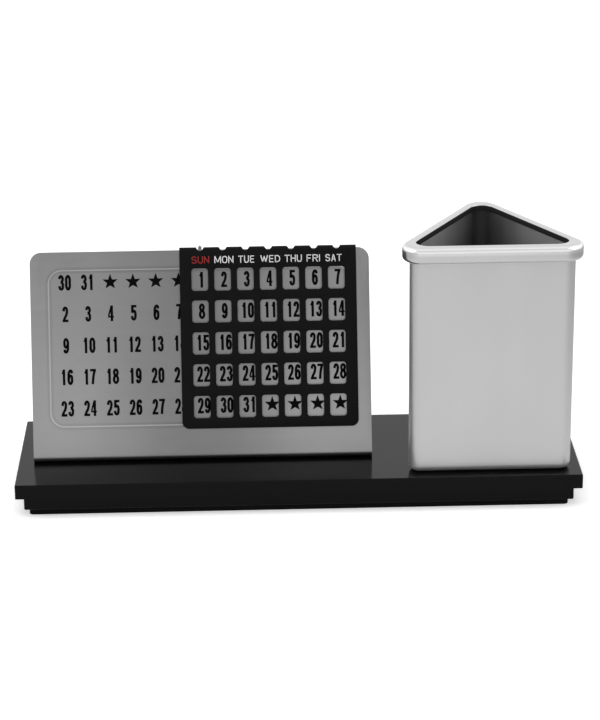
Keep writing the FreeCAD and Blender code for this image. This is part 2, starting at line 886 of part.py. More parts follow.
def revolve(body, sketch, name):
    """Turns a half section once round the body's Z axis."""
    feature = body.newObject("PartDesign::Revolution", name)
    feature.Profile = sketch
    feature.ReferenceAxis = (origin_feature(body, "Z_Axis"), [""])
    feature.Angle = 360
    body.Tip = feature
    recompute()
    return feature


def flat_screw(body, head, head_height, shank, length):
    """A screw on the body's Z axis, whose head bears on the XY plane."""
    section = new_sketch(body, "screw_section", "XZ_Plane")
    outline(
        section,
        [
            (0.0, -length),
            (shank / 2, -length),
            (shank / 2, 0.0),
            (head / 2, 0.0),
            (head / 2, head_height),
            (0.0, head_height),
        ],
    )
    return revolve(body, section, "screw")


def make_plate_screws():
    """The row of screws that hold the plate's flange down."""
    level = base_top + size["plate_sheet"]
    y = plate_y + size["plate_screw_setback"]
    body = new_body("plate_screws", plate_x - plate_screw_reach, y, level)
    body.AllowCompound = True
    screw = flat_screw(
        body, size["plate_screw_head"], size["plate_screw_head_height"],
        size["plate_screw_shank"], size["plate_screw_length"],
    )
    pattern(body, [screw], "screws", plate_screw_row)


def make_cup_screw():
    """The screw through the cup's floor, on its washer."""
    level = base_top + size["cup_wall"] + size["washer_thickness"]
    body = new_body("cup_screw", cup_x, cup_y, level)
    flat_screw(
        body, size["cup_screw_head"], size["cup_screw_head_height"],
        size["cup_screw_shank"], size["cup_screw_length"],
    )


def make_cup_washer():
    """The flat washer under the cup screw's head."""
    body = new_body("cup_washer", cup_x, cup_y, base_top + size["cup_wall"])
    plan = new_sketch(body, "washer_plan")
    circle(plan, "outside", 0.0, 0.0, size["washer_diameter"] / 2)
    circle(plan, "hole", 0.0, 0.0, passage_radius(size["cup_screw_shank"]))
    pad(body, plan, size["washer_thickness"], "washer")


def make_plinth_screws():
    """Countersunk screws, driven up through the plinth into the board."""
    body = new_body("plinth_screws", -plinth_screw_x, 0.0, plinth_level)
    body.AllowCompound = True
    head, shank = size["plinth_screw_head"] / 2, size["plinth_screw_shank"] / 2
    length = size["plinth_screw_length"]
    section = new_sketch(body, "screw_section", "XZ_Plane")
    outline(
        section,
        [(0.0, 0.0), (head, 0.0), (shank, head - shank), (shank, length), (0.0, length)],
    )
    screw = revolve(body, section, "screw")
    pattern(body, [screw], "screws", plinth_screw_row)


# ---- whole object -----------------------------------------------------------------------------


def check_and_export():
    """Writes one STEP file per body, once everything in the document is sound."""
    doc.recompute()
    for item in doc.Objects:
        if "Invalid" in item.State or "Error" in item.State:
            raise RuntimeError(f"{item.Label} failed: {item.State}")
    bodies = [item for item in doc.Objects if item.TypeId == "PartDesign::Body"]
    for body in bodies:
        if body.Shape.isNull() or not body.Shape.isValid():
            raise RuntimeError(f"{body.Label} has no valid shape")
    os.makedirs("parts", exist_ok=True)
    for body in bodies:
        body.Shape.exportStep(os.path.join("parts", f"{body.Label}.step"))
        box = body.Shape.BoundBox
        print(
            f"{body.Label}: {len(body.Shape.Solids)} solid(s), {body.Shape.Volume:.1f} mm3, "
            f"x {box.XMin:.2f}..{box.XMax:.2f}, y {box.YMin:.2f}..{box.YMax:.2f}, "
            f"z {box.ZMin:.2f}..{box.ZMax:.2f}"
        )


make_base_board()
make_base_plinth()
make_base_pad()
make_calendar_plate()
make_date_slider()
make_pen_cup()
make_cup_rim()
make_plate_screws()
make_cup_screw()
make_cup_washer()
make_plinth_screws()
check_and_export()
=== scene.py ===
"""Looks of a perpetual desk calendar with a triangular pen cup, as a Blender add-on.

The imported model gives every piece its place. This script dresses it: it gives each piece its
finish, prints the numbers and weekday names, and models the plate, the slider, the cup, its
trim ring and the screws finer than the frame has them. Lengths are in metres and the frame's
axes are kept: +X along the base towards the cup, +Y to the back, +Z up, the origin on the desk.
"""

import math
from contextlib import contextmanager

import bmesh
import bpy
from mathutils import Matrix, Vector


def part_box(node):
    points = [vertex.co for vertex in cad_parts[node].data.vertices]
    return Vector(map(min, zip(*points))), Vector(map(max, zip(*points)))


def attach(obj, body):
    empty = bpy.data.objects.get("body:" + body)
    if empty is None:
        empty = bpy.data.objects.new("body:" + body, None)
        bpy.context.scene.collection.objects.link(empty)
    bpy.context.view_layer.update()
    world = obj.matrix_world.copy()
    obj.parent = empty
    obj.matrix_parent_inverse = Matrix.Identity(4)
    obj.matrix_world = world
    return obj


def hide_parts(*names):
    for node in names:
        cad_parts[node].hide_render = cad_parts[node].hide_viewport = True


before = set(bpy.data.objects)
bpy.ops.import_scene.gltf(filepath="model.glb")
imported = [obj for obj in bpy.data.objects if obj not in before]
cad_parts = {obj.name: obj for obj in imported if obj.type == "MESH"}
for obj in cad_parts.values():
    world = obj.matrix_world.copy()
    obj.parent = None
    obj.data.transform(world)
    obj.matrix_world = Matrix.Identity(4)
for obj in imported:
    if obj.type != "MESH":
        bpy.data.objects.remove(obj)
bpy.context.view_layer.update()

bl_info = {
    "name": "Desk Calendar Looks",
    "version": (1, 0, 0),
    "blender": (4, 5, 0),
    "location": "View3D > Sidebar > Calendar",
    "description": "Finishes, printing and fine shapes of a desk calendar with a pen cup",
    "category": "Object",
}

MM = 0.001
# How near two places count as one.
CLOSE = 0.02 * MM
STAND, SLIDER = "stand", "slider"
COLUMNS, ROWS = 7, 5
PRINTED_COLUMNS = 13

# Each weekday's name, its printed width and the shift of its middle from its column, in mm.
DAYS = (
    ("SUN", 7.8, 0.4),
    ("MON", 8.4, 0.75),
    ("TUE", 7.1, 0.6),
    ("WED", 8.7, 1.1),
    ("THU", 7.6, 1.2),
    ("FRI", 5.9, 0.0),
    ("SAT", 7.2, -1.1),
)

PLATE_LOW, PLATE_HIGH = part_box("calendar_plate")
BOARD_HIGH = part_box("base_board")[1]
CUP_LOW, CUP_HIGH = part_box("pen_cup")
RIM_LOW, RIM_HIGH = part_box("cup_rim")
SLIDER_LOW, SLIDER_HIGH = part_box("date_slider")


# ---- sizes and colours a user may change ----


def length(name, text, millimetres):
    return bpy.props.FloatProperty(
        name=name, description=text, default=millimetres * MM, unit="LENGTH",
        subtype="DISTANCE", precision=5,
    )


def angle(name, text, degrees):
    return bpy.props.FloatProperty(
        name=name, description=text, default=math.radians(degrees), unit="ROTATION",
        subtype="ANGLE",
    )


def colour(name, text, *shade):
    return bpy.props.FloatVectorProperty(
        name=name, description=text, default=shade, size=3, subtype="COLOR", min=0.0, max=1.0
    )


class CalendarSizes(bpy.types.PropertyGroup):
    """Sizes of the plate, the slider, the cup and the printing"""

    lean: angle("Plate lean", "How far the plate leans back from upright", 18.5)
    plate_front: length("Plate corner", "Y of the virtual corner of the foot bend", -13.9)
    plate_length: length("Plate length", "Slant length of the panel", 93.0)
    sheet: length("Plate sheet", "Thickness of the plate's sheet", 1.0)
    bend_radius: length("Bend radius", "Inner radius of the foot bend", 1.3)
    plate_corner: length("Plate corners", "Radius of the panel's top corners", 5.0)
    flange: length("Flange", "Length of the foot flange", 34.0)
    flange_corner: length("Flange corners", "Radius of the flange's corners", 4.0)
    recess_side: length("Recess side", "From the plate's side to the recess", 7.5)
    recess_top: length("Recess top", "From the plate's top to the recess", 7.6)
    recess_bottom: length("Recess bottom", "From the foot's corner to the recess", 15.7)
    recess_corner: length("Recess corners", "Radius of the recess's corners", 6.5)
    recess_depth: length("Recess depth", "Depth of the stamped recess", 0.45)
    recess_slope: angle("Recess slope", "Slope of the recess's walls", 22.0)
    recess_round: length("Recess edges", "Radius of the recess's soft edges", 2.2)
    tooth_rise: length("Tooth rise", "Height of the index tooth", 2.0)
    tooth_half: length("Tooth half", "Half the width of the index tooth", 0.77)
    slider_sheet: length("Slider sheet", "Thickness of the slider's sheet", 0.8)
    slider_gap: length("Slider gap", "Running gap between plate and slider", 0.25)
    fold_level: length("Fold centre", "Slant height of the centre of the slider's fold", 92.6)
    slider_height: length("Slider height", "Slant height of the slider's front", 79.8)
    slider_corner: length("Slider corners", "Radius of the front's lower corners", 3.0)
    lip_level: length("Lip end", "Slant height of the lip's lower edge", 86.39)
    lip_corner: length("Lip corners", "Radius of the lip's corners", 2.0)
    column_pitch: length("Column pitch", "Distance between two columns", 10.0)
    row_pitch: length("Row pitch", "Distance between two rows", 14.0)
    first_row: length("First row", "Slant height of the first row's windows", 79.85)
    window_width: length("Window width", "Width of one window", 7.3)
    window_height: length("Window height", "Height of one window", 9.8)
    window_corner: length("Window corners", "Radius of a window's corners", 1.3)
    index_shift: length("Index shift", "Shift of notches and tooth from the columns", 0.25)
    notch_opening: length("Notch opening", "Width of a notch at the fold's top", 3.65)
    notch_floor: length("Notch floor", "Width of a notch at its floor", 1.2)
    notch_level: length("Notch floor level", "Slant height of a notch's floor", 92.5)
    cup_width: length("Cup width", "Width of the cup's front", 70.6)
    cup_corner: length("Cup corners", "Radius of the cup's corners", 5.0)
    cup_wall: length("Cup wall", "Thickness of the cup's wall", 0.8)
    cup_foot: length("Cup foot", "Radius round the cup's foot", 3.0)
    rim_overhang: length("Ring overhang", "How far the ring stands out of the wall", 3.2)
    rim_top: length("Ring top radius", "Radius of the ring's upper edge", 2.7)
    rim_bottom: length("Ring bottom radius", "Radius of the ring's lower edge", 2.0)
    rim_inside: length("Ring inner radius", "Radius of the ring's inner edge", 1.0)
    rim_lip: length("Ring lip depth", "Depth of the ring's lip inside the cup", 2.8)
    rim_fit: length("Ring fit", "Gap between wall and ring", 0.15)
    rim_lip_wall: length("Ring lip wall", "Thickness of the inner lip", 0.6)
    rim_opening: length("Ring opening corners", "Radius of the opening's corners", 5.5)
    digit_height: length("Digit height", "Height of a printed digit", 6.9)
    digit_width: length("Digit width", "Width of a printed digit", 2.6)
    digit_step: length("Digit step", "Distance between the digits of one number", 3.0)
    digit_stroke: length("Digit stroke", "Width of a digit's stroke", 1.12)
    print_pitch: length("Printed row pitch", "Distance between two printed rows", 13.85)
    star_size: length("Star size", "Diameter of a printed star", 7.1)
    print_right: length("Print shift right", "Shift of the numbers in their windows", 0.62)
    print_tilt: angle("Print tilt", "How far the printed numbers turn in the recess", 0.25)
    ink: length("Ink", "Thickness of the printing", 0.03)
    name_height: length("Name height", "Height of a weekday's capitals", 3.15)
    name_level: length("Name level", "Slant height of the middle of the names", 88.52)
    name_stroke: length("Name stroke", "Width of a letter's stroke", 0.42)
    name_gap: length("Name gap", "Gap between two letters", 0.42)


class CalendarColours(bpy.types.PropertyGroup):
    """Main shade of each finish"""

    steel: colour("Plate steel", "Brushed sheet of the plate", 0.35, 0.35, 0.35)
    cup_steel: colour("Cup steel", "Satin sheet of the cup", 0.705, 0.705, 0.705)
    trim: colour("Trim", "Polished ring", 0.78, 0.78, 0.78)
    # painted shade: the near-black of the ring's lip stands for the shade inside the cup's mouth
    lip: colour("Ring lip", "Inside of the ring's lip, left black from hardening", 0.03, 0.03, 0.03)
    screw: colour("Screw steel", "Zinc plated screws and washer", 0.62, 0.63, 0.65)
    lacquer: colour("Base lacquer", "Black lacquer of the base", 0.0011, 0.0011, 0.0012)
    coat: colour("Slider coat", "Black coating of the slider", 0.003, 0.003, 0.003)
    foam: colour("Pad foam", "Foam pad under the base", 0.008, 0.008, 0.008)
    ink_black: colour("Black ink", "Numbers on the plate", 0.002, 0.002, 0.002)
    ink_white: colour("White ink", "Weekday names", 0.72, 0.72, 0.72)
    ink_red: colour("Red ink", "Name of the first weekday", 0.30, 0.022, 0.018)
    inside: colour("Cup inside", "Unpolished inside of the cup", 0.66, 0.66, 0.66)
    paper: colour("Floor", "Plain floor under the object", 0.90, 0.90, 0.90)


def sizes():
    return bpy.context.scene.calendar_sizes


def colours():
    return bpy.context.scene.calendar_colours


# ---- shaders ----


class Wire:
    """One output of a node, which can be written into sums: 1 - mask adds a Subtract node."""

    def __init__(self, finish, socket):
        self.finish = finish
        self.socket = socket

    def maths(self, operation, *terms):
        """A Math node on this output and the terms after it."""
        return self.finish.add("ShaderNodeMath", {"operation": operation}, [self, *terms])

    def __add__(self, other):
        return self.maths("ADD", other)

    def __sub__(self, other):
        return self.maths("SUBTRACT", other)

    def __rsub__(self, other):
        return self.finish.add("ShaderNodeMath", {"operation": "SUBTRACT"}, [other, self])

    def __mul__(self, other):
        return self.maths("MULTIPLY", other)

    def __abs__(self):
        return self.maths("ABSOLUTE")

    __radd__ = __add__
    __rmul__ = __mul__


class Finish:
    """A node tree in the making: a material's, or the world's."""

    def __init__(self, tree):
        self.tree = tree
        tree.nodes.clear()

    def add(self, kind, settings=None, values=(), output=0, **named):
        """Adds a node: its settings first, then the values or links of its sockets."""
        node = self.tree.nodes.new(kind)
        for name, setting in (settings or {}).items():
            if name == "stops":
                self.set_stops(node.color_ramp, setting)
            else:
                setattr(node, name, setting)
        for place, value in list(enumerate(values)) + list(named.items()):
            socket = node.inputs[place if isinstance(place, int) else place.replace("_", " ")]
            if isinstance(value, Wire):
                self.tree.links.new(value.socket, socket)
            else:
                socket.default_value = value
        return Wire(self, node.outputs[output]) if node.outputs else node

    def set_stops(self, ramp, stops):
        while len(ramp.elements) < len(stops):
            ramp.elements.new(1.0)
        for element, (position, grey) in zip(ramp.elements, stops):
            element.position = position
            element.color = (grey, grey, grey, 1.0)

    def place(self, turn=(0.0, 0.0, 0.0), centre=(0.0, 0.0, 0.0)):
        """Object coordinates, moved to a centre and turned."""
        spot = self.add("ShaderNodeTexCoord", output="Object")
        spot = self.add("ShaderNodeMapping", None, [spot], Location=[-c for c in centre])
        return self.add("ShaderNodeMapping", None, [spot], Rotation=turn)

    def parts(self, spot):
        """The three numbers of a place."""
        return [
            self.add("ShaderNodeSeparateXYZ", None, [spot], output=axis) for axis in "XYZ"
        ]

    def step(self, value, low, high):
        """Rises softly from 0 to 1 as a value goes from low to high."""
        return self.add(
            "ShaderNodeMapRange", {"interpolation_type": "SMOOTHSTEP"}, [value],
            From_Min=low, From_Max=high,
        )

    def noise(self, size, detail=2.0, stretch=(1.0, 1.0, 1.0), spot=None, roughness=0.5):
        """Soft noise from 0 to 1 in lumps of a size, drawn out along the axes whose stretch
        is below one."""
        spot = self.add("ShaderNodeMapping", None, [spot or self.place()], Scale=stretch)
        return self.add(
            "ShaderNodeTexNoise", Vector=spot, Scale=1.0 / size, Detail=detail,
            Roughness=roughness,
        )

    def tint(self, shade, factor):
        """A colour made lighter or darker by a factor."""
        return self.add(
            "ShaderNodeVectorMath", {"operation": "SCALE"}, [(*shade,)], Scale=factor
        )

    def rays(self, *kinds):
        """For each kind of ray, 1 where the ray is of that kind."""
        return [self.add("ShaderNodeLightPath", output=f"Is {kind} Ray") for kind in kinds]


class Surface(Finish):
    """A new material and its node tree."""

    def __init__(self, name, metallic=0.0, ior=1.45):
        self.material = bpy.data.materials.new(name)
        self.material.use_nodes = True
        super().__init__(self.material.node_tree)
        self.metallic = metallic
        self.ior = ior

    def close(self, shade, tone, roughness, relief, depth, strength):
        """Joins the main shader to the output and returns the material: a shade times a tone,
        and bumps that follow a relief of some depth."""
        bumps = self.add("ShaderNodeBump", Height=relief, Distance=depth, Strength=strength)
        shader = self.add(
            "ShaderNodeBsdfPrincipled", Base_Color=self.tint(shade, tone), Roughness=roughness,
            Metallic=self.metallic, IOR=self.ior, Normal=bumps,
        )
        self.add("ShaderNodeOutputMaterial", Surface=shader)
        return self.material


def brushed_plate():
    """Steel sheet brushed along its length, with the soft clouds that rolling leaves. A painted
    reflection makes it lighter towards its ends and its foot, and a painted highlight and painted
    shade line the recess's edge."""
    s = sizes()
    surface = Surface("brushed_plate_steel", metallic=1.0)
    flat = surface.place(turn=(s.lean, 0.0, 0.0), centre=plate_frame().translation)
    grain = surface.noise(0.16 * MM, 3.0, (0.012, 1.0, 1.0), flat, roughness=0.6)
    cloud = surface.noise(26 * MM, 1.5, (1.0, 1.0, 0.45), flat)
    streak = surface.noise(4 * MM, 2.0, (0.25, 1.0, 1.0), flat)
    across, _, up = surface.parts(flat)
    across = abs(across)
    # painted reflection: the sheet is lighter towards its ends and its foot, darker in its middle
    ends = surface.step(across, 4 * MM, 60 * MM)
    low = 1 - surface.step(up, 0.0, s.plate_length)
    # how far inside the recess's outline, whose corners are round
    width, height, middle = recess_size()
    corner = s.recess_corner
    beside = across - (width / 2 - corner)
    above = abs(up - middle) - (height / 2 - corner)
    past_x, past_z = beside.maths("MAXIMUM", 0.0), above.maths("MAXIMUM", 0.0)
    round_part = (past_x * past_x + past_z * past_z).maths("SQRT")
    flat_part = beside.maths("MAXIMUM", above).maths("MINIMUM", 0.0)
    inside = corner - (round_part + flat_part)
    # painted highlight as a thin bright line along the recess's edge, and painted shade as a dark
    # band on its wall just inside
    from_rim = abs(inside - 0.5 * MM)
    rim_highlight = 1 - surface.step(from_rim, 0.05 * MM, 0.4 * MM)
    wall = surface.step(from_rim, 0.2 * MM, 0.6 * MM) - surface.step(from_rim, 0.9 * MM, 1.8 * MM)
    # tone: the painted reflection of the ends and the foot, with random grain and clouds
    tone = 0.55 + ends * (0.21 + 0.18 * low) + 0.05 * low + 0.06 * grain + 0.19 * cloud
    return surface.close(
        colours().steel, tone=tone + 0.08 * streak + 0.58 * rim_highlight - 0.11 * wall,
        roughness=0.31 + 0.10 * grain + 0.05 * cloud,
        relief=grain, depth=0.004 * MM, strength=0.3,
    )


def satin_cup():
    """Satin steel of the cup's walls, with the soft upright clouds of its drawing, made less
    metallic round its foot so that the foot is painted lighter."""
    surface = Surface("satin_cup_steel")
    # painted light: less metallic near the foot, which makes the foot read lighter
    height = surface.parts(surface.place())[2] - BOARD_HIGH.z
    surface.metallic = 0.62 + 0.27 * surface.step(height, 1.5 * MM, 4 * MM)
    fine = surface.noise(0.5 * MM, stretch=(1.0, 1.0, 0.05))
    cloud = surface.noise(24 * MM, 1.5, stretch=(1.0, 1.0, 0.3))
    return surface.close(
        colours().cup_steel, tone=0.93 + 0.02 * fine + 0.12 * cloud,
        roughness=0.36 + 0.05 * fine, relief=fine, depth=0.002 * MM, strength=0.02,
    )


def cup_inside():
    """The drawn inside of the cup, left dull, with painted shade darker towards its rear corner."""
    surface = Surface("dull_cup_inside", metallic=1.0)
    draw = surface.noise(0.5 * MM, 3.0, stretch=(1.0, 1.0, 0.04))
    cloud = surface.noise(16 * MM, 1.5, stretch=(1.0, 1.0, 0.5))
    across = abs(surface.parts(surface.place(centre=cup_axis()))[0])
    # painted shade: darker towards the rear corner, and darker again right in it
    beside = surface.step(across, 0.0, 24 * MM)
    corner = 0.5 + 0.5 * surface.step(across, 1 * MM, 5 * MM)
    return surface.close(
        colours().inside, tone=(0.16 + 0.60 * beside + 0.16 * draw + 0.34 * cloud) * corner,
        roughness=0.46 + 0.12 * draw, relief=draw, depth=0.01 * MM, strength=0.15,
    )


def ring_lip():
    """The ring's lip on its inside, coloured near-black as painted shade."""
    surface = Surface("ring_lip_painted_shade", metallic=0.6, ior=1.3)
    scale = surface.noise(0.7 * MM, 3.0)
    return surface.close(
        colours().lip, tone=0.7 + 0.6 * scale, roughness=0.5 + 0.2 * scale,
        relief=scale, depth=0.01 * MM, strength=0.3,
    )


def polished_trim():
    """The bright ring, faintly wavy from hand polishing, with a painted highlight round its bead.
    """
    surface = Surface("polished_trim_steel", metallic=1.0)
    drop = RIM_HIGH.z - surface.parts(surface.place())[2]
    # painted highlight: lighter down the bead's rounding than on the top, and less bright again on
    # the skirt
    bead = surface.step(drop, 0.1 * MM, 1.0 * MM)
    skirt = surface.step(drop, 2.5 * MM, 4.0 * MM)
    wave = surface.noise(9 * MM, 1.0)
    fine = surface.noise(0.35 * MM)
    return surface.close(
        colours().trim, tone=0.82 + 0.40 * bead - 0.30 * skirt + 0.05 * wave,
        roughness=0.20 + 0.05 * fine, relief=wave, depth=0.02 * MM, strength=0.4,
    )


def zinc_screw():
    """Plated screw steel with a grainy, slightly mottled skin."""
    surface = Surface("zinc_screw_steel", metallic=1.0)
    mottle = surface.noise(0.8 * MM, 4.0)
    return surface.close(
        colours().screw, tone=0.8 + 0.35 * mottle, roughness=0.25 + 0.25 * mottle,
        relief=mottle, depth=0.01 * MM, strength=0.4,
    )


def black_lacquer():
    """Black lacquer over board: smooth, faintly hazy, a little wavy in its gloss."""
    surface = Surface("black_board_lacquer", ior=1.245)
    haze = surface.noise(35 * MM, 3.0)
    peel = surface.noise(1.6 * MM)
    return surface.close(
        colours().lacquer, tone=0.85 + 0.3 * haze, roughness=0.09 + 0.06 * haze,
        relief=peel, depth=0.01 * MM, strength=0.12,
    )


def black_coat():
    """Satin black coating with a fine powder texture."""
    surface = Surface("black_coat_paint", ior=1.2)
    powder = surface.noise(0.25 * MM)
    cloud = surface.noise(18 * MM, 1.0)
    return surface.close(
        colours().coat, tone=0.85 + 0.3 * cloud, roughness=0.44 + 0.1 * powder,
        relief=powder, depth=0.006 * MM, strength=0.3,
    )


def pad_foam():
    """Closed-cell foam, matt and finely pitted."""
    surface = Surface("pad_foam_rubber", ior=1.2)
    cells = surface.add("ShaderNodeTexVoronoi", Vector=surface.place(), Scale=1.0 / (0.6 * MM))
    return surface.close(
        colours().foam, tone=0.6 + 0.7 * cells, roughness=0.88,
        relief=cells, depth=0.05 * MM, strength=0.6,
    )


def ink(name, shade, ior=1.3):
    """Screen-printed ink with slightly uneven cover."""
    surface = Surface(name, ior=ior)
    cover = surface.noise(0.5 * MM)
    return surface.close(
        shade, tone=0.9 + 0.2 * cover, roughness=0.5 + 0.15 * cover,
        relief=cover, depth=0.004 * MM, strength=0.3,
    )


# ---- modelling ----


def deselect():
    bpy.ops.object.select_all(action="DESELECT")


def focus(piece):
    """Makes one piece the only selected and active one."""
    deselect()
    piece.select_set(True)
    bpy.context.view_layer.objects.active = piece


def start(name, primitive, **settings):
    """Adds a primitive as the start of a piece."""
    deselect()
    primitive(**settings)
    piece = bpy.context.object
    piece.name = piece.data.name = name
    return piece


@contextmanager
def editing(piece):
    focus(piece)
    bpy.ops.object.mode_set(mode="EDIT")
    yield
    bpy.ops.object.mode_set(mode="OBJECT")


def pick(kind, test=lambda element: True):
    """In edit mode, selects the VERT, EDGE or FACE elements that pass a test."""
    bpy.ops.mesh.select_mode(type=kind)
    bpy.ops.mesh.select_all(action="DESELECT")
    data = bpy.context.object.data
    mesh = bmesh.from_edit_mesh(data)
    elements = {"VERT": mesh.verts, "EDGE": mesh.edges, "FACE": mesh.faces}[kind]
    found = 0
    for element in elements:
        if test(element):
            element.select_set(True)
            found += 1
    mesh.select_flush_mode()
    bmesh.update_edit_mesh(data)
    if not found:
        raise RuntimeError(f"nothing to select on {bpy.context.object.name}")


def pick_all():
    bpy.ops.mesh.select_all(action="SELECT")


def face_outwards():
    pick_all()
    bpy.ops.mesh.normals_make_consistent(inside=False)


def lies(edge, axis, level):
    """True where both ends of an edge lie on a level of one axis."""
    return all(abs(end.co[axis] - level) < CLOSE for end in edge.verts)


def runs(edge, axis):
    """True where an edge runs along one axis."""
    step = edge.verts[1].co - edge.verts[0].co
    return abs(abs(step[axis]) - step.length) < CLOSE


def tidy_skin(piece):
    """Merges doubles and turns all faces outwards."""
    with editing(piece):
        pick("FACE")
        bpy.ops.mesh.remove_doubles(threshold=CLOSE / 10)
        bpy.ops.mesh.normals_make_consistent(inside=False)


def pull(extrude, step):
    """Extrudes what is picked and moves it by a step."""
    extrude(TRANSFORM_OT_translate={"value": step})


def draw_line(name, points):
    """A chain of edges through points, drawn by extruding one vertex again and again."""
    piece = start(name, bpy.ops.mesh.primitive_plane_add, size=MM)
    with editing(piece):
        pick("VERT")
        bpy.ops.mesh.merge(type="CENTER")
        bpy.ops.transform.translate(value=points[0])
        for here, there in zip(points, points[1:]):
            pull(bpy.ops.mesh.extrude_vertices_move, Vector(there) - Vector(here))
    return piece


def round_points(piece, widths, segments):
    """Rounds a line at some of its points: pairs of a place and a width."""
    with editing(piece):
        for place, width in widths:
            pick("VERT", lambda vert: (vert.co - Vector(place)).length < CLOSE)
            bpy.ops.mesh.bevel(offset=width, segments=segments, affect="VERTICES")


def sweep(piece, corner, sides, steps):
    """Pulls a profile, drawn at the centre of a first corner, once round an outline: along
    each side, and then round the corner at its end."""
    turn = 2 * math.pi / len(sides)
    centre = Vector((*corner, 0))
    with editing(piece):
        pick_all()
        for side, long in enumerate(sides):
            along = Matrix.Rotation(turn * side, 3, "Z") @ Vector((long, 0, 0))
            centre += along
            pull(bpy.ops.mesh.extrude_edges_move, along)
            bpy.ops.mesh.spin(steps=steps, angle=turn, center=centre, axis=(0, 0, -1))
    tidy_skin(piece)


def finish_with(piece, kind, **settings):
    """Adds a modifier and applies it at once."""
    focus(piece)
    modifier = piece.modifiers.new(kind.title(), kind)
    for name, setting in settings.items():
        setattr(modifier, name, setting)
    bpy.ops.object.modifier_apply(modifier=modifier.name)


def repeat(piece, count, step):
    """Copies a piece's mesh in a row, one step apart."""
    finish_with(
        piece, "ARRAY", count=count, use_relative_offset=False, use_constant_offset=True,
        constant_offset_displace=step,
    )


def cut_away(piece, cutter):
    """Takes the cutter's shape out of the piece and deletes the cutter."""
    finish_with(piece, "BOOLEAN", operation="DIFFERENCE", solver="EXACT", object=cutter)
    bpy.data.objects.remove(cutter)


def soften(piece, width, limit=40.0):
    """Breaks the sharp edges and shades the piece smooth between them."""
    finish_with(
        piece, "BEVEL", width=width, segments=2, limit_method="ANGLE",
        angle_limit=math.radians(limit), harden_normals=False,
    )
    smooth_over(piece)


def smooth_over(piece, limit=32.0):
    """Shades smooth across edges that turn less than the limit."""
    focus(piece)
    bpy.ops.object.shade_smooth_by_angle(angle=math.radians(limit))


def put(piece, matrix):
    """Moves a finished piece to its place and bakes the place into its mesh."""
    focus(piece)
    piece.matrix_world = matrix
    bpy.ops.object.transform_apply(location=True, rotation=True, scale=True)


def dress(piece, material):
    piece.data.materials.clear()
    piece.data.materials.append(material)


def copy_of(pattern, x, y):
    """A copy with its own mesh, moved in the plane."""
    piece = pattern.copy()
    piece.data = pattern.data.copy()
    bpy.context.scene.collection.objects.link(piece)
    piece.data.transform(Matrix.Translation((x, y, 0)))
    return piece


def join(name, pieces):
    deselect()
    for piece in pieces:
        piece.select_set(True)
    bpy.context.view_layer.objects.active = pieces[0]
    if len(pieces) > 1:
        bpy.ops.object.join()
    piece = bpy.context.object
    piece.name = piece.data.name = name
    return piece


def plate_frame():
    """From the plate's own frame, upright with its front on XZ, to its leaning place."""
    middle = (PLATE_LOW.x + PLATE_HIGH.x) / 2
    foot = Vector((middle, sizes().plate_front, BOARD_HIGH.z))
    return Matrix.Translation(foot) @ Matrix.Rotation(-sizes().lean, 4, "X")


def slider_front():
    """Y of the slider's front face, in the plate's frame."""
    return -(sizes().slider_gap + sizes().slider_sheet)


# ---- calendar plate ----

SCREW_HEAD, FLANGE_HOLE = 6.0 * MM, 3.5 * MM
TOOTH_TIP = 0.25 * MM
# How far the recess's skin runs on past its soft edges, level with the panel and the floor.
SKIN_LAP = 0.1 * MM


def recess_size():
    """Width, height and slant height of the middle of the recess."""
    s = sizes()
    width = PLATE_HIGH.x - PLATE_LOW.x - 2 * s.recess_side
    top = s.plate_length - s.recess_top
    return width, top - s.recess_bottom, (top + s.recess_bottom) / 2


def bend_size():
    """Outer radius of the foot bend, and how far it reaches from the sheet's virtual corner."""
    s = sizes()
    outer = s.bend_radius + s.sheet
    return outer, outer * (1 + math.sin(s.lean)) / math.cos(s.lean)


def bend_and_flange(half):
    """The front skin of the foot bend, spun, and of the flange, in the plate's frame."""
    s = sizes()
    outer, rise = bend_size()
    piece = draw_line("bend", [(-half, 0, rise + MM), (-half, 0, rise)])
    with editing(piece):
        pick("VERT", lambda vert: abs(vert.co.z - rise) < CLOSE)
        bpy.ops.mesh.spin(
            steps=14, angle=math.pi / 2 + s.lean, center=(-half, outer, rise), axis=(-1, 0, 0)
        )
        way = Vector((0, math.cos(s.lean), math.sin(s.lean)))
        far = max(vert.co.y for vert in bmesh.from_edit_mesh(piece.data).verts)
        pick("VERT", lambda vert: vert.co.y > far - CLOSE)
        pull(bpy.ops.mesh.extrude_vertices_move, (s.flange - rise) * way)
        pick("EDGE")
        pull(bpy.ops.mesh.extrude_edges_move, (2 * half, 0, 0))
    return piece


def panel_edge(half):
    """The panel's outline above the bend, with round corners and the index tooth."""
    s = sizes()
    rise = bend_size()[1] + MM
    top, middle = s.plate_length, s.index_shift
    left, right = middle - s.tooth_half, middle + s.tooth_half
    tip = top + s.tooth_rise
    outline = [
        (-half, rise), (-half, top), (left, top), (left, tip - s.tooth_half), (middle, tip),
        (right, tip - s.tooth_half), (right, top), (half, top), (half, rise),
    ]
    piece = draw_line("panel_edge", [(x, 0, z) for x, z in outline])
    with editing(piece):
        pick("VERT", lambda vert: abs(abs(vert.co.x) - half) < CLOSE and vert.co.z > top - CLOSE)
        bpy.ops.mesh.bevel(offset=s.plate_corner, segments=10, affect="VERTICES")
        pick("VERT", lambda vert: vert.co.z > tip - CLOSE)
        bpy.ops.mesh.bevel(offset=TOOTH_TIP, segments=3, affect="VERTICES")
    return piece


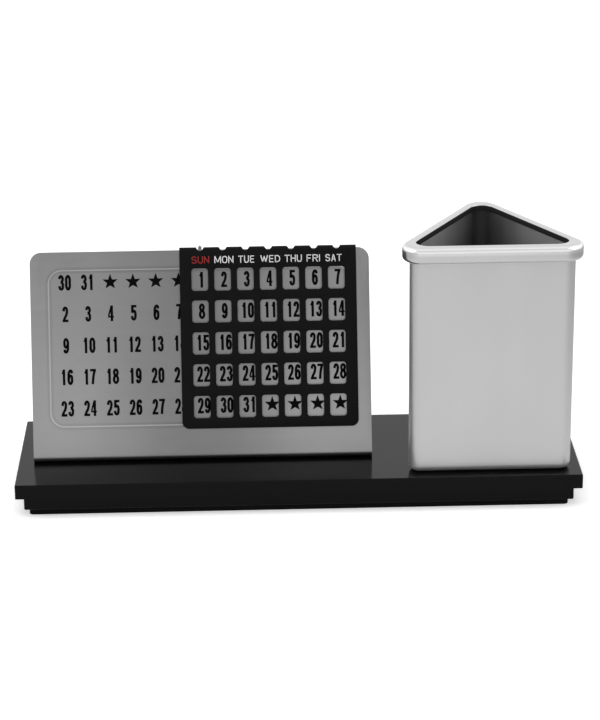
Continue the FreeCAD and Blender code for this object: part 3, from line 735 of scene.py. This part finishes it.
def recess():
    """The skin of the recess: its soft wall swept round, and its floor."""
    s = sizes()
    width, height, middle = recess_size()
    run = s.recess_depth / math.tan(s.recess_slope)
    soft = s.recess_round * math.tan(s.recess_slope / 2)
    corner = (s.recess_corner - width / 2, s.recess_corner - height / 2)
    profile = [
        (soft + SKIN_LAP, 0), (0, 0), (-run, -s.recess_depth),
        (-run - soft - SKIN_LAP, -s.recess_depth),
    ]
    places = [(corner[0], corner[1] - s.recess_corner - out, down) for out, down in profile]
    piece = draw_line("recess", places)
    round_points(piece, [(place, soft) for place in places[1:3]], 5)
    sides = [width - 2 * s.recess_corner, height - 2 * s.recess_corner] * 2
    sweep(piece, corner, sides, 14)
    with editing(piece):
        pick("EDGE", lambda edge: edge.is_boundary and lies(edge, 2, -s.recess_depth))
        bpy.ops.mesh.edge_face_add()
    put(piece, Matrix.Translation((0, 0, middle)) @ Matrix.Rotation(math.pi / 2, 4, "X"))
    return piece


class CALENDAR_OT_plate(bpy.types.Operator):
    """Model the plate: the leaning panel with its recess and tooth, the bend and the flange"""

    bl_idname = "calendar.plate"
    bl_label = "Calendar plate"

    def execute(self, context):
        s = sizes()
        half = (PLATE_HIGH.x - PLATE_LOW.x) / 2
        piece = join("calendar_plate_sheet", [bend_and_flange(half), panel_edge(half), recess()])
        with editing(piece):
            pick_all()
            bpy.ops.mesh.remove_doubles(threshold=CLOSE)
            # the panel's outline and the recess's, with the panel still open between them
            pick("EDGE", lambda edge: lies(edge, 1, 0.0) and len(edge.link_faces) < 2)
            bpy.ops.mesh.fill(use_beauty=True)
            bpy.ops.mesh.dissolve_limited(angle_limit=math.radians(0.5))
            face_outwards()
        # the sheet's thickness goes behind its front
        if max(piece.data.polygons, key=lambda face: face.area).normal.y > 0:
            piece.data.flip_normals()
        finish_with(piece, "SOLIDIFY", thickness=s.sheet, offset=-1.0, use_even_offset=True)
        with editing(piece):
            # the short upright edges at the flange's two far corners
            pick("EDGE", lambda edge: edge.calc_length() < s.sheet + CLOSE and all(
                abs(abs(end.co.x) - half) < CLOSE and end.co.y > 0.9 * s.flange
                for end in edge.verts
            ))
            bpy.ops.mesh.bevel(offset=s.flange_corner, segments=8, affect="EDGES")
        put(piece, plate_frame())
        low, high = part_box("plate_screws")
        for place in (low.x + SCREW_HEAD / 2, (low.x + high.x) / 2, high.x - SCREW_HEAD / 2):
            hole = start(
                "flange_hole", bpy.ops.mesh.primitive_cylinder_add, radius=FLANGE_HOLE / 2,
                depth=8 * MM, location=(place, (low.y + high.y) / 2, BOARD_HIGH.z),
            )
            cut_away(piece, hole)
        soften(piece, width=0.08 * MM, limit=60.0)
        dress(piece, brushed_plate())
        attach(piece, STAND)
        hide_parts("calendar_plate")
        return {"FINISHED"}


# ---- slider ----


def fold_sheet():
    """The slider's sheet: its middle line drawn from the side, then pulled out to its width."""
    s = sizes()
    middle = s.sheet / 2
    reach = middle + s.slider_gap + s.slider_sheet / 2
    bottom = s.fold_level + reach + s.slider_sheet / 2 - s.slider_height
    left = -(s.window_width / 2 + side_margin())
    piece = draw_line(
        "date_slider_sheet", [(left, middle - reach, bottom), (left, middle - reach, s.fold_level)]
    )
    with editing(piece):
        pick("VERT", lambda vert: abs(vert.co.z - s.fold_level) < CLOSE)
        bpy.ops.mesh.spin(
            steps=20, angle=math.pi, center=(left, middle, s.fold_level), axis=(1, 0, 0)
        )
        # only the fold's rear end
        pick("VERT", lambda vert: vert.co.y > middle and abs(vert.co.z - s.fold_level) < CLOSE)
        pull(bpy.ops.mesh.extrude_vertices_move, (0, 0, s.lip_level - s.fold_level))
        pick("EDGE")
        pull(bpy.ops.mesh.extrude_edges_move, (SLIDER_HIGH.x - SLIDER_LOW.x, 0, 0))
        face_outwards()
    finish_with(piece, "SOLIDIFY", thickness=s.slider_sheet, offset=0.0)
    tidy_skin(piece)
    return piece, bottom


def side_margin():
    """Sheet left of the first window column."""
    span = (COLUMNS - 1) * sizes().column_pitch + sizes().window_width
    return (SLIDER_HIGH.x - SLIDER_LOW.x - span) / 2


def round_sheet_corners(piece, level, radius):
    """Rounds the corners of the sheet at one level."""
    with editing(piece):
        pick("EDGE", lambda edge: runs(edge, 1) and lies(edge, 2, level))
        bpy.ops.mesh.bevel(offset=radius, segments=8, affect="EDGES")


def window_cutter():
    """One block with round corners per window, in seven columns and five rows."""
    s = sizes()
    cutter = start("window_cutter", bpy.ops.mesh.primitive_cube_add, size=1.0)
    with editing(cutter):
        pick_all()
        bpy.ops.transform.resize(value=(s.window_width, 3 * s.slider_sheet, s.window_height))
        pick("EDGE", lambda edge: runs(edge, 1))
        bpy.ops.mesh.bevel(offset=s.window_corner, segments=6, affect="EDGES")
        pick_all()
        bpy.ops.transform.translate(value=(0, slider_front(), s.first_row))
    repeat(cutter, COLUMNS, (s.column_pitch, 0, 0))
    repeat(cutter, ROWS, (0, 0, -s.row_pitch))
    return cutter


def notch_cutter():
    """One round-bottomed V per notch, through the whole fold."""
    s = sizes()
    top = s.fold_level + s.sheet / 2 + s.slider_gap + s.slider_sheet
    flare = (s.notch_opening - s.notch_floor) / 2 / (top - s.notch_level)
    over, front = top + MM, -3 * MM
    half_low = s.notch_floor / 2
    half_high = half_low + flare * (over - s.notch_level)
    cutter = draw_line("notch_cutter", [
        (-half_high, front, over), (-half_low, front, s.notch_level),
        (half_low, front, s.notch_level), (half_high, front, over),
    ])
    with editing(cutter):
        pick("VERT", lambda vert: abs(vert.co.z - s.notch_level) < CLOSE)
        bpy.ops.mesh.bevel(offset=0.4 * s.notch_floor, segments=4, affect="VERTICES")
        pick_all()
        bpy.ops.mesh.edge_face_add()
        pull(bpy.ops.mesh.extrude_region_move, (0, -2 * front, 0))
        face_outwards()
        bpy.ops.transform.translate(value=(s.index_shift, 0, 0))
    repeat(cutter, COLUMNS, (s.column_pitch, 0, 0))
    return cutter


class CALENDAR_OT_slider(bpy.types.Operator):
    """Model the folded window slider with its windows and notches"""

    bl_idname = "calendar.slider"
    bl_label = "Date slider"

    def execute(self, context):
        s = sizes()
        piece, bottom = fold_sheet()
        round_sheet_corners(piece, bottom, s.slider_corner)
        round_sheet_corners(piece, s.lip_level, s.lip_corner)
        cut_away(piece, window_cutter())
        cut_away(piece, notch_cutter())
        tidy_skin(piece)
        soften(piece, width=0.06 * MM)
        put(piece, plate_frame())
        dress(piece, black_coat())
        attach(piece, SLIDER)
        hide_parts("date_slider")
        return {"FINISHED"}


# ---- printing ----

# Each mark is a few strokes, split by slashes. A stroke says how it runs, and its points in
# hundredths of its box: "round" runs smoothly through them, "ring" closes on itself, "bar" is
# straight with full ends, and "thin" is a narrower round.
DIGITS = {
    "0": "ring 50,100 93,86 100,50 93,14 50,0 7,14 0,50 7,86",
    "1": "bar 64,100 64,0 / round 12,76 40,83 60,100",
    "2": "round 2,72 16,94 52,100 90,90 97,70 72,42 28,20 8,2 / bar 0,0 100,0",
    "3": "round 3,78 16,95 50,100 88,90 86,64 42,53 / round 42,53 90,45 97,20 78,3 46,0 12,7 0,26",
    "4": "bar 76,100 76,0 / thin 62,104 -20,30 / thin -36,24 136,24",
    "5": (
        "bar 14,100 98,100 / round 16,106 8,50 / round 6,50 30,62 62,64 96,48 97,20 76,3 46,0 "
        "12,7 0,26"
    ),
    "6": "round 97,78 84,96 54,100 14,88 0,50 6,15 50,0 92,13 98,34 84,56 52,62 14,52 2,36",
    "7": "bar 0,100 100,100 / round 100,100 62,58 36,-7",
    "8": "ring 50,100 88,92 90,66 50,54 10,66 12,92 / ring 50,54 95,42 95,10 50,0 5,10 5,42",
    "9": "round 3,22 16,4 46,0 86,12 100,50 94,85 50,100 8,87 2,66 16,44 48,38 86,48 98,64",
}
LETTERS = {
    "A": "round 2,-10 50,108 / round 98,-10 50,108 / round 20,28 80,28",
    "D": "bar 0,0 0,100 / round 0,100 50,98 90,82 100,50 90,18 50,2 0,0",
    "E": "bar 0,0 0,100 / bar 0,100 90,100 / bar 0,52 80,52 / bar 0,0 90,0",
    "F": "bar 0,0 0,100 / bar 0,100 90,100 / bar 0,50 78,50",
    "H": "bar 0,0 0,100 / bar 100,0 100,100 / bar 0,52 100,52",
    "I": "bar 0,0 0,100",
    "M": "bar 0,0 0,100 / bar 100,0 100,100 / round 0,105 50,10 / round 100,105 50,10",
    "N": "bar 0,0 0,100 / bar 100,0 100,100 / round 0,100 100,0",
    "O": "ring 50,100 93,86 100,50 93,14 50,0 7,14 0,50 7,86",
    "R": "bar 0,0 0,100 / round 0,100 55,100 94,90 96,64 60,50 0,50 / round 50,50 100,-10",
    "S": "round 96,78 80,96 46,100 8,90 8,64 50,52 94,38 92,10 52,0 16,5 0,24",
    "T": "bar 0,100 100,100 / bar 50,0 50,100",
    "U": "round 0,110 0,70 2,28 18,4 50,0 82,4 98,28 100,70 100,110",
    "W": "round 0,110 26,0 / round 26,0 50,95 / round 50,95 74,0 / round 74,0 100,110",
}
# How wide a thin stroke is beside a full one, and a star's waist beside its tips.
THIN_SHARE, STAR_WAIST = 0.66, 0.42
# How wide a letter is, without its stroke, where it isn't as wide as the others.
LETTER_WIDTHS = {"I": 0.0, "E": 0.9, "F": 0.9, "M": 1.35, "W": 1.55}


def number_at(column, row):
    """The number in one place of the print: a day from 1 to 31, or None for a star."""
    day = COLUMNS * row + column - (PRINTED_COLUMNS - COLUMNS) + 1
    if row == 0 and day < 1:
        day = (30, 31)[column] if column < 2 else None
    elif day > 31:
        day = None
    return day


def draw_stroke(kind, points, width, height, stroke):
    """One flat stroke of a mark, lying in the XY plane."""
    data = bpy.data.curves.new("stroke", "CURVE")
    data.dimensions = "3D"
    data.twist_mode = "Z_UP"
    data.resolution_u = 6
    data.extrude = stroke / 2 * (THIN_SHARE if kind == "thin" else 1)
    spline = data.splines.new("BEZIER")
    spline.bezier_points.add(len(points) - 1)
    spline.use_cyclic_u = kind == "ring"
    places = [
        Vector((stroke / 2 + across * (width - stroke), stroke / 2 + up * (height - stroke), 0))
        for across, up in points
    ]
    if kind == "bar":
        overhang = (places[1] - places[0]).normalized() * stroke / 2
        places = [places[0] - overhang, places[1] + overhang]
    for knot, place in zip(spline.bezier_points, places):
        knot.co = place
        knot.handle_left_type = knot.handle_right_type = "AUTO"
        knot.tilt = math.pi / 2
    piece = bpy.data.objects.new("stroke", data)
    bpy.context.scene.collection.objects.link(piece)
    focus(piece)
    bpy.ops.object.convert(target="MESH")
    finish_with(piece, "SOLIDIFY", thickness=sizes().ink, offset=0.0)
    return piece


def draw_mark(name, mark, width, height, stroke):
    """One digit or letter, its lower left corner at the origin."""
    strokes = []
    for text in mark.split(" / "):
        kind, *points = text.split()
        shares = [[int(part) / 100 for part in point.split(",")] for point in points]
        strokes.append(draw_stroke(kind, shares, width, height, stroke))
    return join(name, strokes)


def draw_star():
    """A five-pointed star: every other corner of a ten-sided plate pulled in."""
    piece = start(
        "star", bpy.ops.mesh.primitive_circle_add, vertices=10, radius=sizes().star_size / 2,
        fill_type="NGON",
    )
    with editing(piece):
        mesh = bmesh.from_edit_mesh(piece.data)
        first = max(mesh.verts, key=lambda vert: vert.co.y).co.copy()
        tips = [Matrix.Rotation(math.radians(72 * turn), 3, "Z") @ first for turn in range(5)]
        pick("VERT", lambda vert: all((vert.co - tip).length > MM for tip in tips))
        bpy.ops.transform.resize(value=(STAR_WAIST, STAR_WAIST, 1))
    finish_with(piece, "SOLIDIFY", thickness=sizes().ink, offset=0.0)
    return piece


def print_frame(y, z):
    """Lays the XY plane of a print against the plate, at one depth and height."""
    upright = Matrix.Rotation(math.pi / 2, 4, "X")
    return plate_frame() @ Matrix.Translation((0, y, z)) @ upright


class CALENDAR_OT_numbers(bpy.types.Operator):
    """Print the day numbers and stars in the plate's recess"""

    bl_idname = "calendar.numbers"
    bl_label = "Day numbers"

    def execute(self, context):
        s = sizes()
        patterns = {
            digit: draw_mark(f"digit_{digit}", mark, s.digit_width, s.digit_height, s.digit_stroke)
            for digit, mark in DIGITS.items()
        }
        star = draw_star()
        black = ink("black_ink", colours().ink_black, ior=1.12)
        first = -(PRINTED_COLUMNS - 1) / 2 * s.column_pitch + s.print_right
        place = print_frame(s.recess_depth - 0.6 * s.ink, s.first_row)
        tilt = Matrix.Rotation(s.print_tilt, 4, "Z")
        for row in range(ROWS):
            marks = []
            level = -row * s.print_pitch
            for column in range(PRINTED_COLUMNS):
                middle = first + column * s.column_pitch
                day = number_at(column, row)
                if day is None:
                    marks.append(copy_of(star, middle, level))
                    continue
                text = str(day)
                left = middle - ((len(text) - 1) * s.digit_step + s.digit_width) / 2
                for count, digit in enumerate(text):
                    x, y = left + count * s.digit_step, level - s.digit_height / 2
                    marks.append(copy_of(patterns[digit], x, y))
            printed = join(f"numbers_row_{row + 1}", marks)
            put(printed, place @ tilt)
            dress(printed, black)
            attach(printed, STAND)
        for pattern in [*patterns.values(), star]:
            bpy.data.objects.remove(pattern)
        return {"FINISHED"}


class CALENDAR_OT_weekdays(bpy.types.Operator):
    """Print the weekday names over the slider's windows"""

    bl_idname = "calendar.weekdays"
    bl_label = "Weekday names"

    def execute(self, context):
        s = sizes()
        white, red = ink("white_ink", colours().ink_white), ink("red_ink", colours().ink_red)
        place = print_frame(slider_front() - 0.3 * s.ink, s.name_level)
        for column, (day, width, shift) in enumerate(DAYS):
            widths = [LETTER_WIDTHS.get(letter, 1.0) for letter in day]
            free = width * MM - len(day) * s.name_stroke - (len(day) - 1) * s.name_gap
            letters = []
            left = -width * MM / 2
            for letter, share in zip(day, widths):
                wide = s.name_stroke + free * share / sum(widths)
                mark = draw_mark(
                    f"letter_{letter}", LETTERS[letter], wide, s.name_height, s.name_stroke
                )
                mark.data.transform(Matrix.Translation((left, -s.name_height / 2, 0)))
                letters.append(mark)
                left += wide + s.name_gap
            name = join(f"weekday_{day.lower()}", letters)
            middle = column * s.column_pitch + shift * MM
            put(name, place @ Matrix.Translation((middle, 0, 0)))
            dress(name, red if column == 0 else white)
            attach(name, SLIDER)
        return {"FINISHED"}


# ---- cup and ring ----

CUP_HOLE = 4.5 * MM
# A hair less than full, where two rounded points would meet.
NEARLY = 0.999


def cup_pitch():
    """Distance between the centres of two of the cup's corners."""
    return sizes().cup_width - 2 * sizes().cup_corner


def cup_axis():
    """The cup's middle on the base."""
    x = (CUP_LOW.x + CUP_HIGH.x) / 2
    y = CUP_LOW.y + cup_pitch() / math.sqrt(12) + sizes().cup_corner
    return Vector((x, y, BOARD_HIGH.z))


def triangle_sweep(name, pitch, radius, profile, corners, steps=20):
    """A profile of points (distance out from the wall's face, height), its listed corners
    rounded, swept round a triangle with round corners."""
    corner = (-pitch / 2, -pitch / math.sqrt(12))
    places = [(corner[0], corner[1] - radius - out, height) for out, height in profile]
    piece = draw_line(name, places)
    round_points(piece, [(places[number], width) for number, width in corners.items()], 8)
    sweep(piece, corner, [pitch] * 3, steps)
    return piece


class CALENDAR_OT_cup(bpy.types.Operator):
    """Model the triangular cup with its round foot"""

    bl_idname = "calendar.cup"
    bl_label = "Pen cup"

    def execute(self, context):
        s = sizes()
        height = CUP_HIGH.z - CUP_LOW.z
        piece = triangle_sweep(
            "pen_cup_wall", cup_pitch(), s.cup_corner,
            [(0.0, height), (0.0, 0.0), (MM - s.cup_corner, 0.0)], {1: s.cup_foot},
        )
        with editing(piece):
            pick("EDGE", lambda edge: edge.is_boundary and lies(edge, 2, 0.0))
            bpy.ops.mesh.edge_face_add()
        tidy_skin(piece)
        finish_with(piece, "SOLIDIFY", thickness=s.cup_wall, offset=-1.0)
        cut_away(piece, start(
            "screw_hole", bpy.ops.mesh.primitive_cylinder_add, radius=CUP_HOLE / 2, depth=4 * MM
        ))
        smooth_over(piece)
        put(piece, Matrix.Translation(cup_axis()))
        dress(piece, satin_cup())
        self.line_inside(piece)
        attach(piece, STAND)
        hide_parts("pen_cup")
        return {"FINISHED"}

    def line_inside(self, piece):
        """Gives the faces that look towards the axis, and the floor, the dull finish."""
        piece.data.materials.append(cup_inside())
        axis = cup_axis()
        floor = axis.z + sizes().cup_wall / 2
        top = CUP_HIGH.z - CLOSE
        for face in piece.data.polygons:
            inward = axis - face.center
            inward.z = 0
            looks_in = face.normal.dot(inward) > 0.3 * inward.length and face.center.z < top
            is_floor = face.normal.z > 0.3 and floor < face.center.z < top
            face.material_index = 1 if looks_in or is_floor else 0


class CALENDAR_OT_ring(bpy.types.Operator):
    """Model the polished trim ring round the cup's top edge"""

    bl_idname = "calendar.ring"
    bl_label = "Trim ring"

    def execute(self, context):
        s = sizes()
        base = BOARD_HIGH.z
        top, bottom, slot_top = RIM_HIGH.z - base, RIM_LOW.z - base, CUP_HIGH.z - base
        lip_end = top - s.rim_lip
        slot_in = -(s.cup_wall + s.rim_fit)
        out = s.rim_overhang
        bead = triangle_sweep(
            "cup_trim_ring", cup_pitch(), s.cup_corner,
            [
                (slot_in, lip_end), (slot_in, slot_top), (s.rim_fit, slot_top),
                (s.rim_fit, bottom), (out, bottom), (out, top), (out - s.rim_top, top),
            ],
            {4: s.rim_bottom, 5: NEARLY * s.rim_top}, steps=24,
        )
        # the opening's corners are rounder than the cup's
        sides_in = s.cup_wall + s.rim_fit + s.rim_lip_wall
        pitch = cup_pitch() + (s.cup_corner - sides_in - s.rim_opening) * math.sqrt(12)
        lip = triangle_sweep(
            "ring_lip", pitch, s.rim_opening,
            [(0.0, lip_end), (0.0, top), (s.rim_inside, top)], {1: NEARLY * s.rim_inside},
            steps=24,
        )
        piece = join("cup_trim_ring", [bead, lip])
        with editing(piece):
            for level in (top, lip_end):
                pick("EDGE", lambda edge: edge.is_boundary and lies(edge, 2, level))
                bpy.ops.mesh.bridge_edge_loops()
        tidy_skin(piece)
        smooth_over(piece, 40.0)
        dress(piece, polished_trim())
        # the lip's inner faces take the near-black painted shade
        piece.data.materials.append(ring_lip())
        for face in piece.data.polygons:
            inward = face.normal.x * face.center.x + face.normal.y * face.center.y < 0
            if inward and abs(face.normal.z) < 0.5 and lip_end < face.center.z:
                face.material_index = 1
        put(piece, Matrix.Translation(cup_axis()))
        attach(piece, STAND)
        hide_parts("cup_rim")
        return {"FINISHED"}


# ---- screws ----

# How tall a pan head is beside its width.
HEAD_SHARE = 0.34


def pan_head_screw(name, shank, low, high):
    """A screw with a pan head and a cross recess, as tall as its box from low to high."""
    radius = (high.y - low.y) / 2
    head = HEAD_SHARE * 2 * radius
    tip = head - (high.z - low.z)
    brow = (radius, 0, head)
    screw = draw_line(name, [
        (0, 0, tip), (0.3 * shank, 0, tip), (shank / 2, 0, tip + 0.3 * shank),
        (shank / 2, 0, 0), (radius, 0, 0), brow, (0, 0, head),
    ])
    round_points(screw, [(brow, 0.7 * head)], 6)
    with editing(screw):
        pick_all()
        bpy.ops.mesh.spin(steps=40, angle=2 * math.pi, center=(0, 0, 0), axis=(0, 0, 1))
    tidy_skin(screw)
    for turn in (45, 135):
        slot = start("cross_slot", bpy.ops.mesh.primitive_cube_add, size=1.0)
        with editing(slot):
            pick_all()
            bpy.ops.transform.resize(value=(1.1 * radius, 0.3 * radius, head))
            pick("VERT", lambda vert: vert.co.z < 0)
            bpy.ops.transform.resize(value=(0.55, 0.7, 1))
        turned = Matrix.Rotation(math.radians(turn), 4, "Z")
        put(slot, Matrix.Translation((0, 0, head)) @ turned)
        cut_away(screw, slot)
    tidy_skin(screw)
    smooth_over(screw)
    return screw


class CALENDAR_OT_screws(bpy.types.Operator):
    """Model the pan-head screws of the plate and the cup"""

    bl_idname = "calendar.screws"
    bl_label = "Screws"

    def execute(self, context):
        zinc = zinc_screw()
        for node, shank, count in (("plate_screws", 2.9, 3), ("cup_screw", 3.9, 1)):
            low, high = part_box(node)
            radius = (high.y - low.y) / 2
            pattern = pan_head_screw(f"{node}_pattern", shank * MM, low, high)
            floor = min(vert.co.z for vert in pattern.data.vertices)
            rise = high.z - pattern.dimensions.z - floor
            pattern.data.transform(Matrix.Translation((0, 0, rise)))
            step = (high.x - low.x - 2 * radius) / max(count - 1, 1)
            copies = [
                copy_of(pattern, low.x + radius + number * step, low.y + radius)
                for number in range(count)
            ]
            bpy.data.objects.remove(pattern)
            piece = join(f"{node}_steel", copies)
            dress(piece, zinc)
            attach(piece, STAND)
            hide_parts(node)
        return {"FINISHED"}


# ---- pieces that stay as they are in the frame ----


class CALENDAR_OT_finishes(bpy.types.Operator):
    """Give the pieces that the frame shows their finishes"""

    bl_idname = "calendar.finishes"
    bl_label = "Finishes"

    def execute(self, context):
        lacquer, zinc = black_lacquer(), zinc_screw()
        finishes = {
            "base_board": lacquer,
            "base_plinth": lacquer,
            "base_pad": pad_foam(),
            "cup_washer": zinc,
            "plinth_screws": zinc,
        }
        for node, material in finishes.items():
            dress(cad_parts[node], material)
        return {"FINISHED"}


# ---- stage ----

CAMERA_PLACE = Vector((-22.96, -1035.34, 445.14)) * MM
CAMERA_PAN, CAMERA_TILT, CAMERA_ROLL = 0.02376, 0.35818, -0.01052
CAMERA_LENS, SENSOR = 150.68, 36.0
LIGHTS_AIM = Vector((0, 0, 0.05))
# Each light's name, place, size and power, and whether mirrors show it.
LIGHTS = (
    ("top_softbox", (-0.1, -0.35, 1.3), 1.2, 8.0, False),
    ("left_softbox", (-0.88, -0.25, 0.8), 0.9, 2.6, True),
    ("right_softbox", (0.88, -0.25, 0.8), 0.9, 2.6, True),
)
# How bright the room in front of the object is to a mirror, by the height of the view.
ROOM_FRONT = ((0.0, 0.87), (0.3, 0.86), (0.84, 0.6), (0.98, 1.0))
ROOM_SIDES = 0.57
DIFFUSE_LIGHT = 0.52
# The glow that whitens the floor near the object, and the floor's grey in its mirrors.
FLOOR_GLOW, FLOOR_NEAR, FLOOR_FAR = 0.38, 0.70, 0.40
WHITE = (1, 1, 1, 1)


def white_surroundings(scene):
    """Plain white to the eye; mirrored, a room that is grey in front and at the sides."""
    world = bpy.data.worlds.new("studio")
    world.use_nodes = True
    scene.world = world
    finish = Finish(world.node_tree)
    camera, glossy = finish.rays("Camera", "Glossy")
    across, back, up = finish.parts(finish.add("ShaderNodeTexCoord", output="Generated"))
    front = finish.add("ShaderNodeValToRGB", {"stops": ROOM_FRONT}, [up])
    sides = finish.step(abs(across), 0.35, 0.8)
    behind = finish.step(back, -0.1, 0.35)
    room = front * (1 - sides) + ROOM_SIDES * sides
    room = room * (1 - behind) + behind
    strength = camera + (1 - camera) * (glossy * room + (1 - glossy) * DIFFUSE_LIGHT)
    light = finish.add("ShaderNodeBackground", Color=WHITE, Strength=strength)
    finish.add("ShaderNodeOutputWorld", Surface=light)


def lay_floor():
    """A wide floor that reads white but keeps the object's shadow."""
    floor = start("floor", bpy.ops.mesh.primitive_plane_add, size=9.0, location=(0, 0, 0))
    with editing(floor):
        pick_all()
        bpy.ops.mesh.subdivide(number_cuts=3)
    finish = Surface("studio_floor")
    spot = finish.place()
    across, back, _ = finish.parts(spot)
    camera, glossy, through = finish.rays("Camera", "Glossy", "Transmission")
    paper = 0.99 + 0.02 * finish.noise(0.12, 1.0, spot=spot)
    beside = finish.step(abs(across), 0.1, 0.45)
    mirrored = FLOOR_NEAR - (FLOOR_NEAR - FLOOR_FAR) * beside
    far = finish.step(across * across + back * back, 0.06, 0.4)
    glow = camera * (FLOOR_GLOW + (1 - FLOOR_GLOW) * far)
    matt = finish.add("ShaderNodeBsdfDiffuse", Color=finish.tint(colours().paper, paper))
    glow = finish.add("ShaderNodeEmission", Color=WHITE, Strength=glow)
    both = finish.add("ShaderNodeAddShader", None, [matt, glow])
    grey = finish.add("ShaderNodeBsdfDiffuse", Color=finish.tint(WHITE[:3], paper * mirrored))
    seen = (glossy + through).maths("MINIMUM", 1.0)
    mixed = finish.add("ShaderNodeMixShader", None, [seen, both, grey])
    finish.add("ShaderNodeOutputMaterial", Surface=mixed)
    dress(floor, finish.material)


def hang_light(name, place, size, power, mirrored):
    """A square softbox aimed at the object, seen in its mirrors or not."""
    deselect()
    bpy.ops.object.light_add(type="AREA", location=place)
    lamp = bpy.context.object
    lamp.name = name
    lamp.data.shape = "SQUARE"
    lamp.data.size = size
    lamp.data.energy = power
    lamp.visible_glossy = mirrored
    aim = LIGHTS_AIM - Vector(place)
    lamp.rotation_euler = aim.to_track_quat("-Z", "Y").to_euler()


class CALENDAR_OT_stage(bpy.types.Operator):
    """Set the floor, the surroundings and the soft lights"""

    bl_idname = "calendar.stage"
    bl_label = "Stage"

    def execute(self, context):
        context.scene.view_settings.view_transform = "Standard"
        white_surroundings(context.scene)
        lay_floor()
        for light in LIGHTS:
            hang_light(*light)
        return {"FINISHED"}


class CALENDAR_OT_camera(bpy.types.Operator):
    """Set the camera"""

    bl_idname = "calendar.camera"
    bl_label = "Camera"

    def execute(self, context):
        deselect()
        bpy.ops.object.camera_add()
        camera = context.object
        camera.name = "camera"
        turn = (
            Matrix.Rotation(-CAMERA_PAN, 4, "Z")
            @ Matrix.Rotation(math.pi / 2 - CAMERA_TILT, 4, "X")
            @ Matrix.Rotation(CAMERA_ROLL, 4, "Z")
        )
        camera.matrix_world = Matrix.Translation(CAMERA_PLACE) @ turn
        camera.data.sensor_fit = "HORIZONTAL"
        camera.data.sensor_width = SENSOR
        camera.data.lens = CAMERA_LENS
        camera.data.clip_start, camera.data.clip_end = 0.01, 50.0
        context.scene.camera = camera
        return {"FINISHED"}


# ---- panel and start ----


class CALENDAR_PT_panel(bpy.types.Panel):
    """Lists the steps and the sizes in the sidebar"""

    bl_idname = "CALENDAR_PT_panel"
    bl_label = "Desk calendar"
    bl_space_type = "VIEW_3D"
    bl_region_type = "UI"
    bl_category = "Calendar"

    def draw(self, context):
        layout = self.layout
        for step in STEPS:
            layout.operator(step.bl_idname)
        for group in (sizes(), colours()):
            box = layout.box()
            for name in group.bl_rna.properties.keys():
                if name not in ("rna_type", "name"):
                    box.prop(group, name)


STEPS = (
    CALENDAR_OT_camera,
    CALENDAR_OT_stage,
    CALENDAR_OT_finishes,
    CALENDAR_OT_plate,
    CALENDAR_OT_slider,
    CALENDAR_OT_numbers,
    CALENDAR_OT_weekdays,
    CALENDAR_OT_cup,
    CALENDAR_OT_ring,
    CALENDAR_OT_screws,
)
CLASSES = (CalendarSizes, CalendarColours, *STEPS, CALENDAR_PT_panel)


def register():
    for item in CLASSES:
        bpy.utils.register_class(item)
    bpy.types.Scene.calendar_sizes = bpy.props.PointerProperty(type=CalendarSizes)
    bpy.types.Scene.calendar_colours = bpy.props.PointerProperty(type=CalendarColours)


def unregister():
    del bpy.types.Scene.calendar_colours
    del bpy.types.Scene.calendar_sizes
    for item in reversed(CLASSES):
        bpy.utils.unregister_class(item)


def main():
    register()
    for step in STEPS:
        group, name = step.bl_idname.split(".")
        getattr(getattr(bpy.ops, group), name)()


if __name__ == "__main__":
    main()
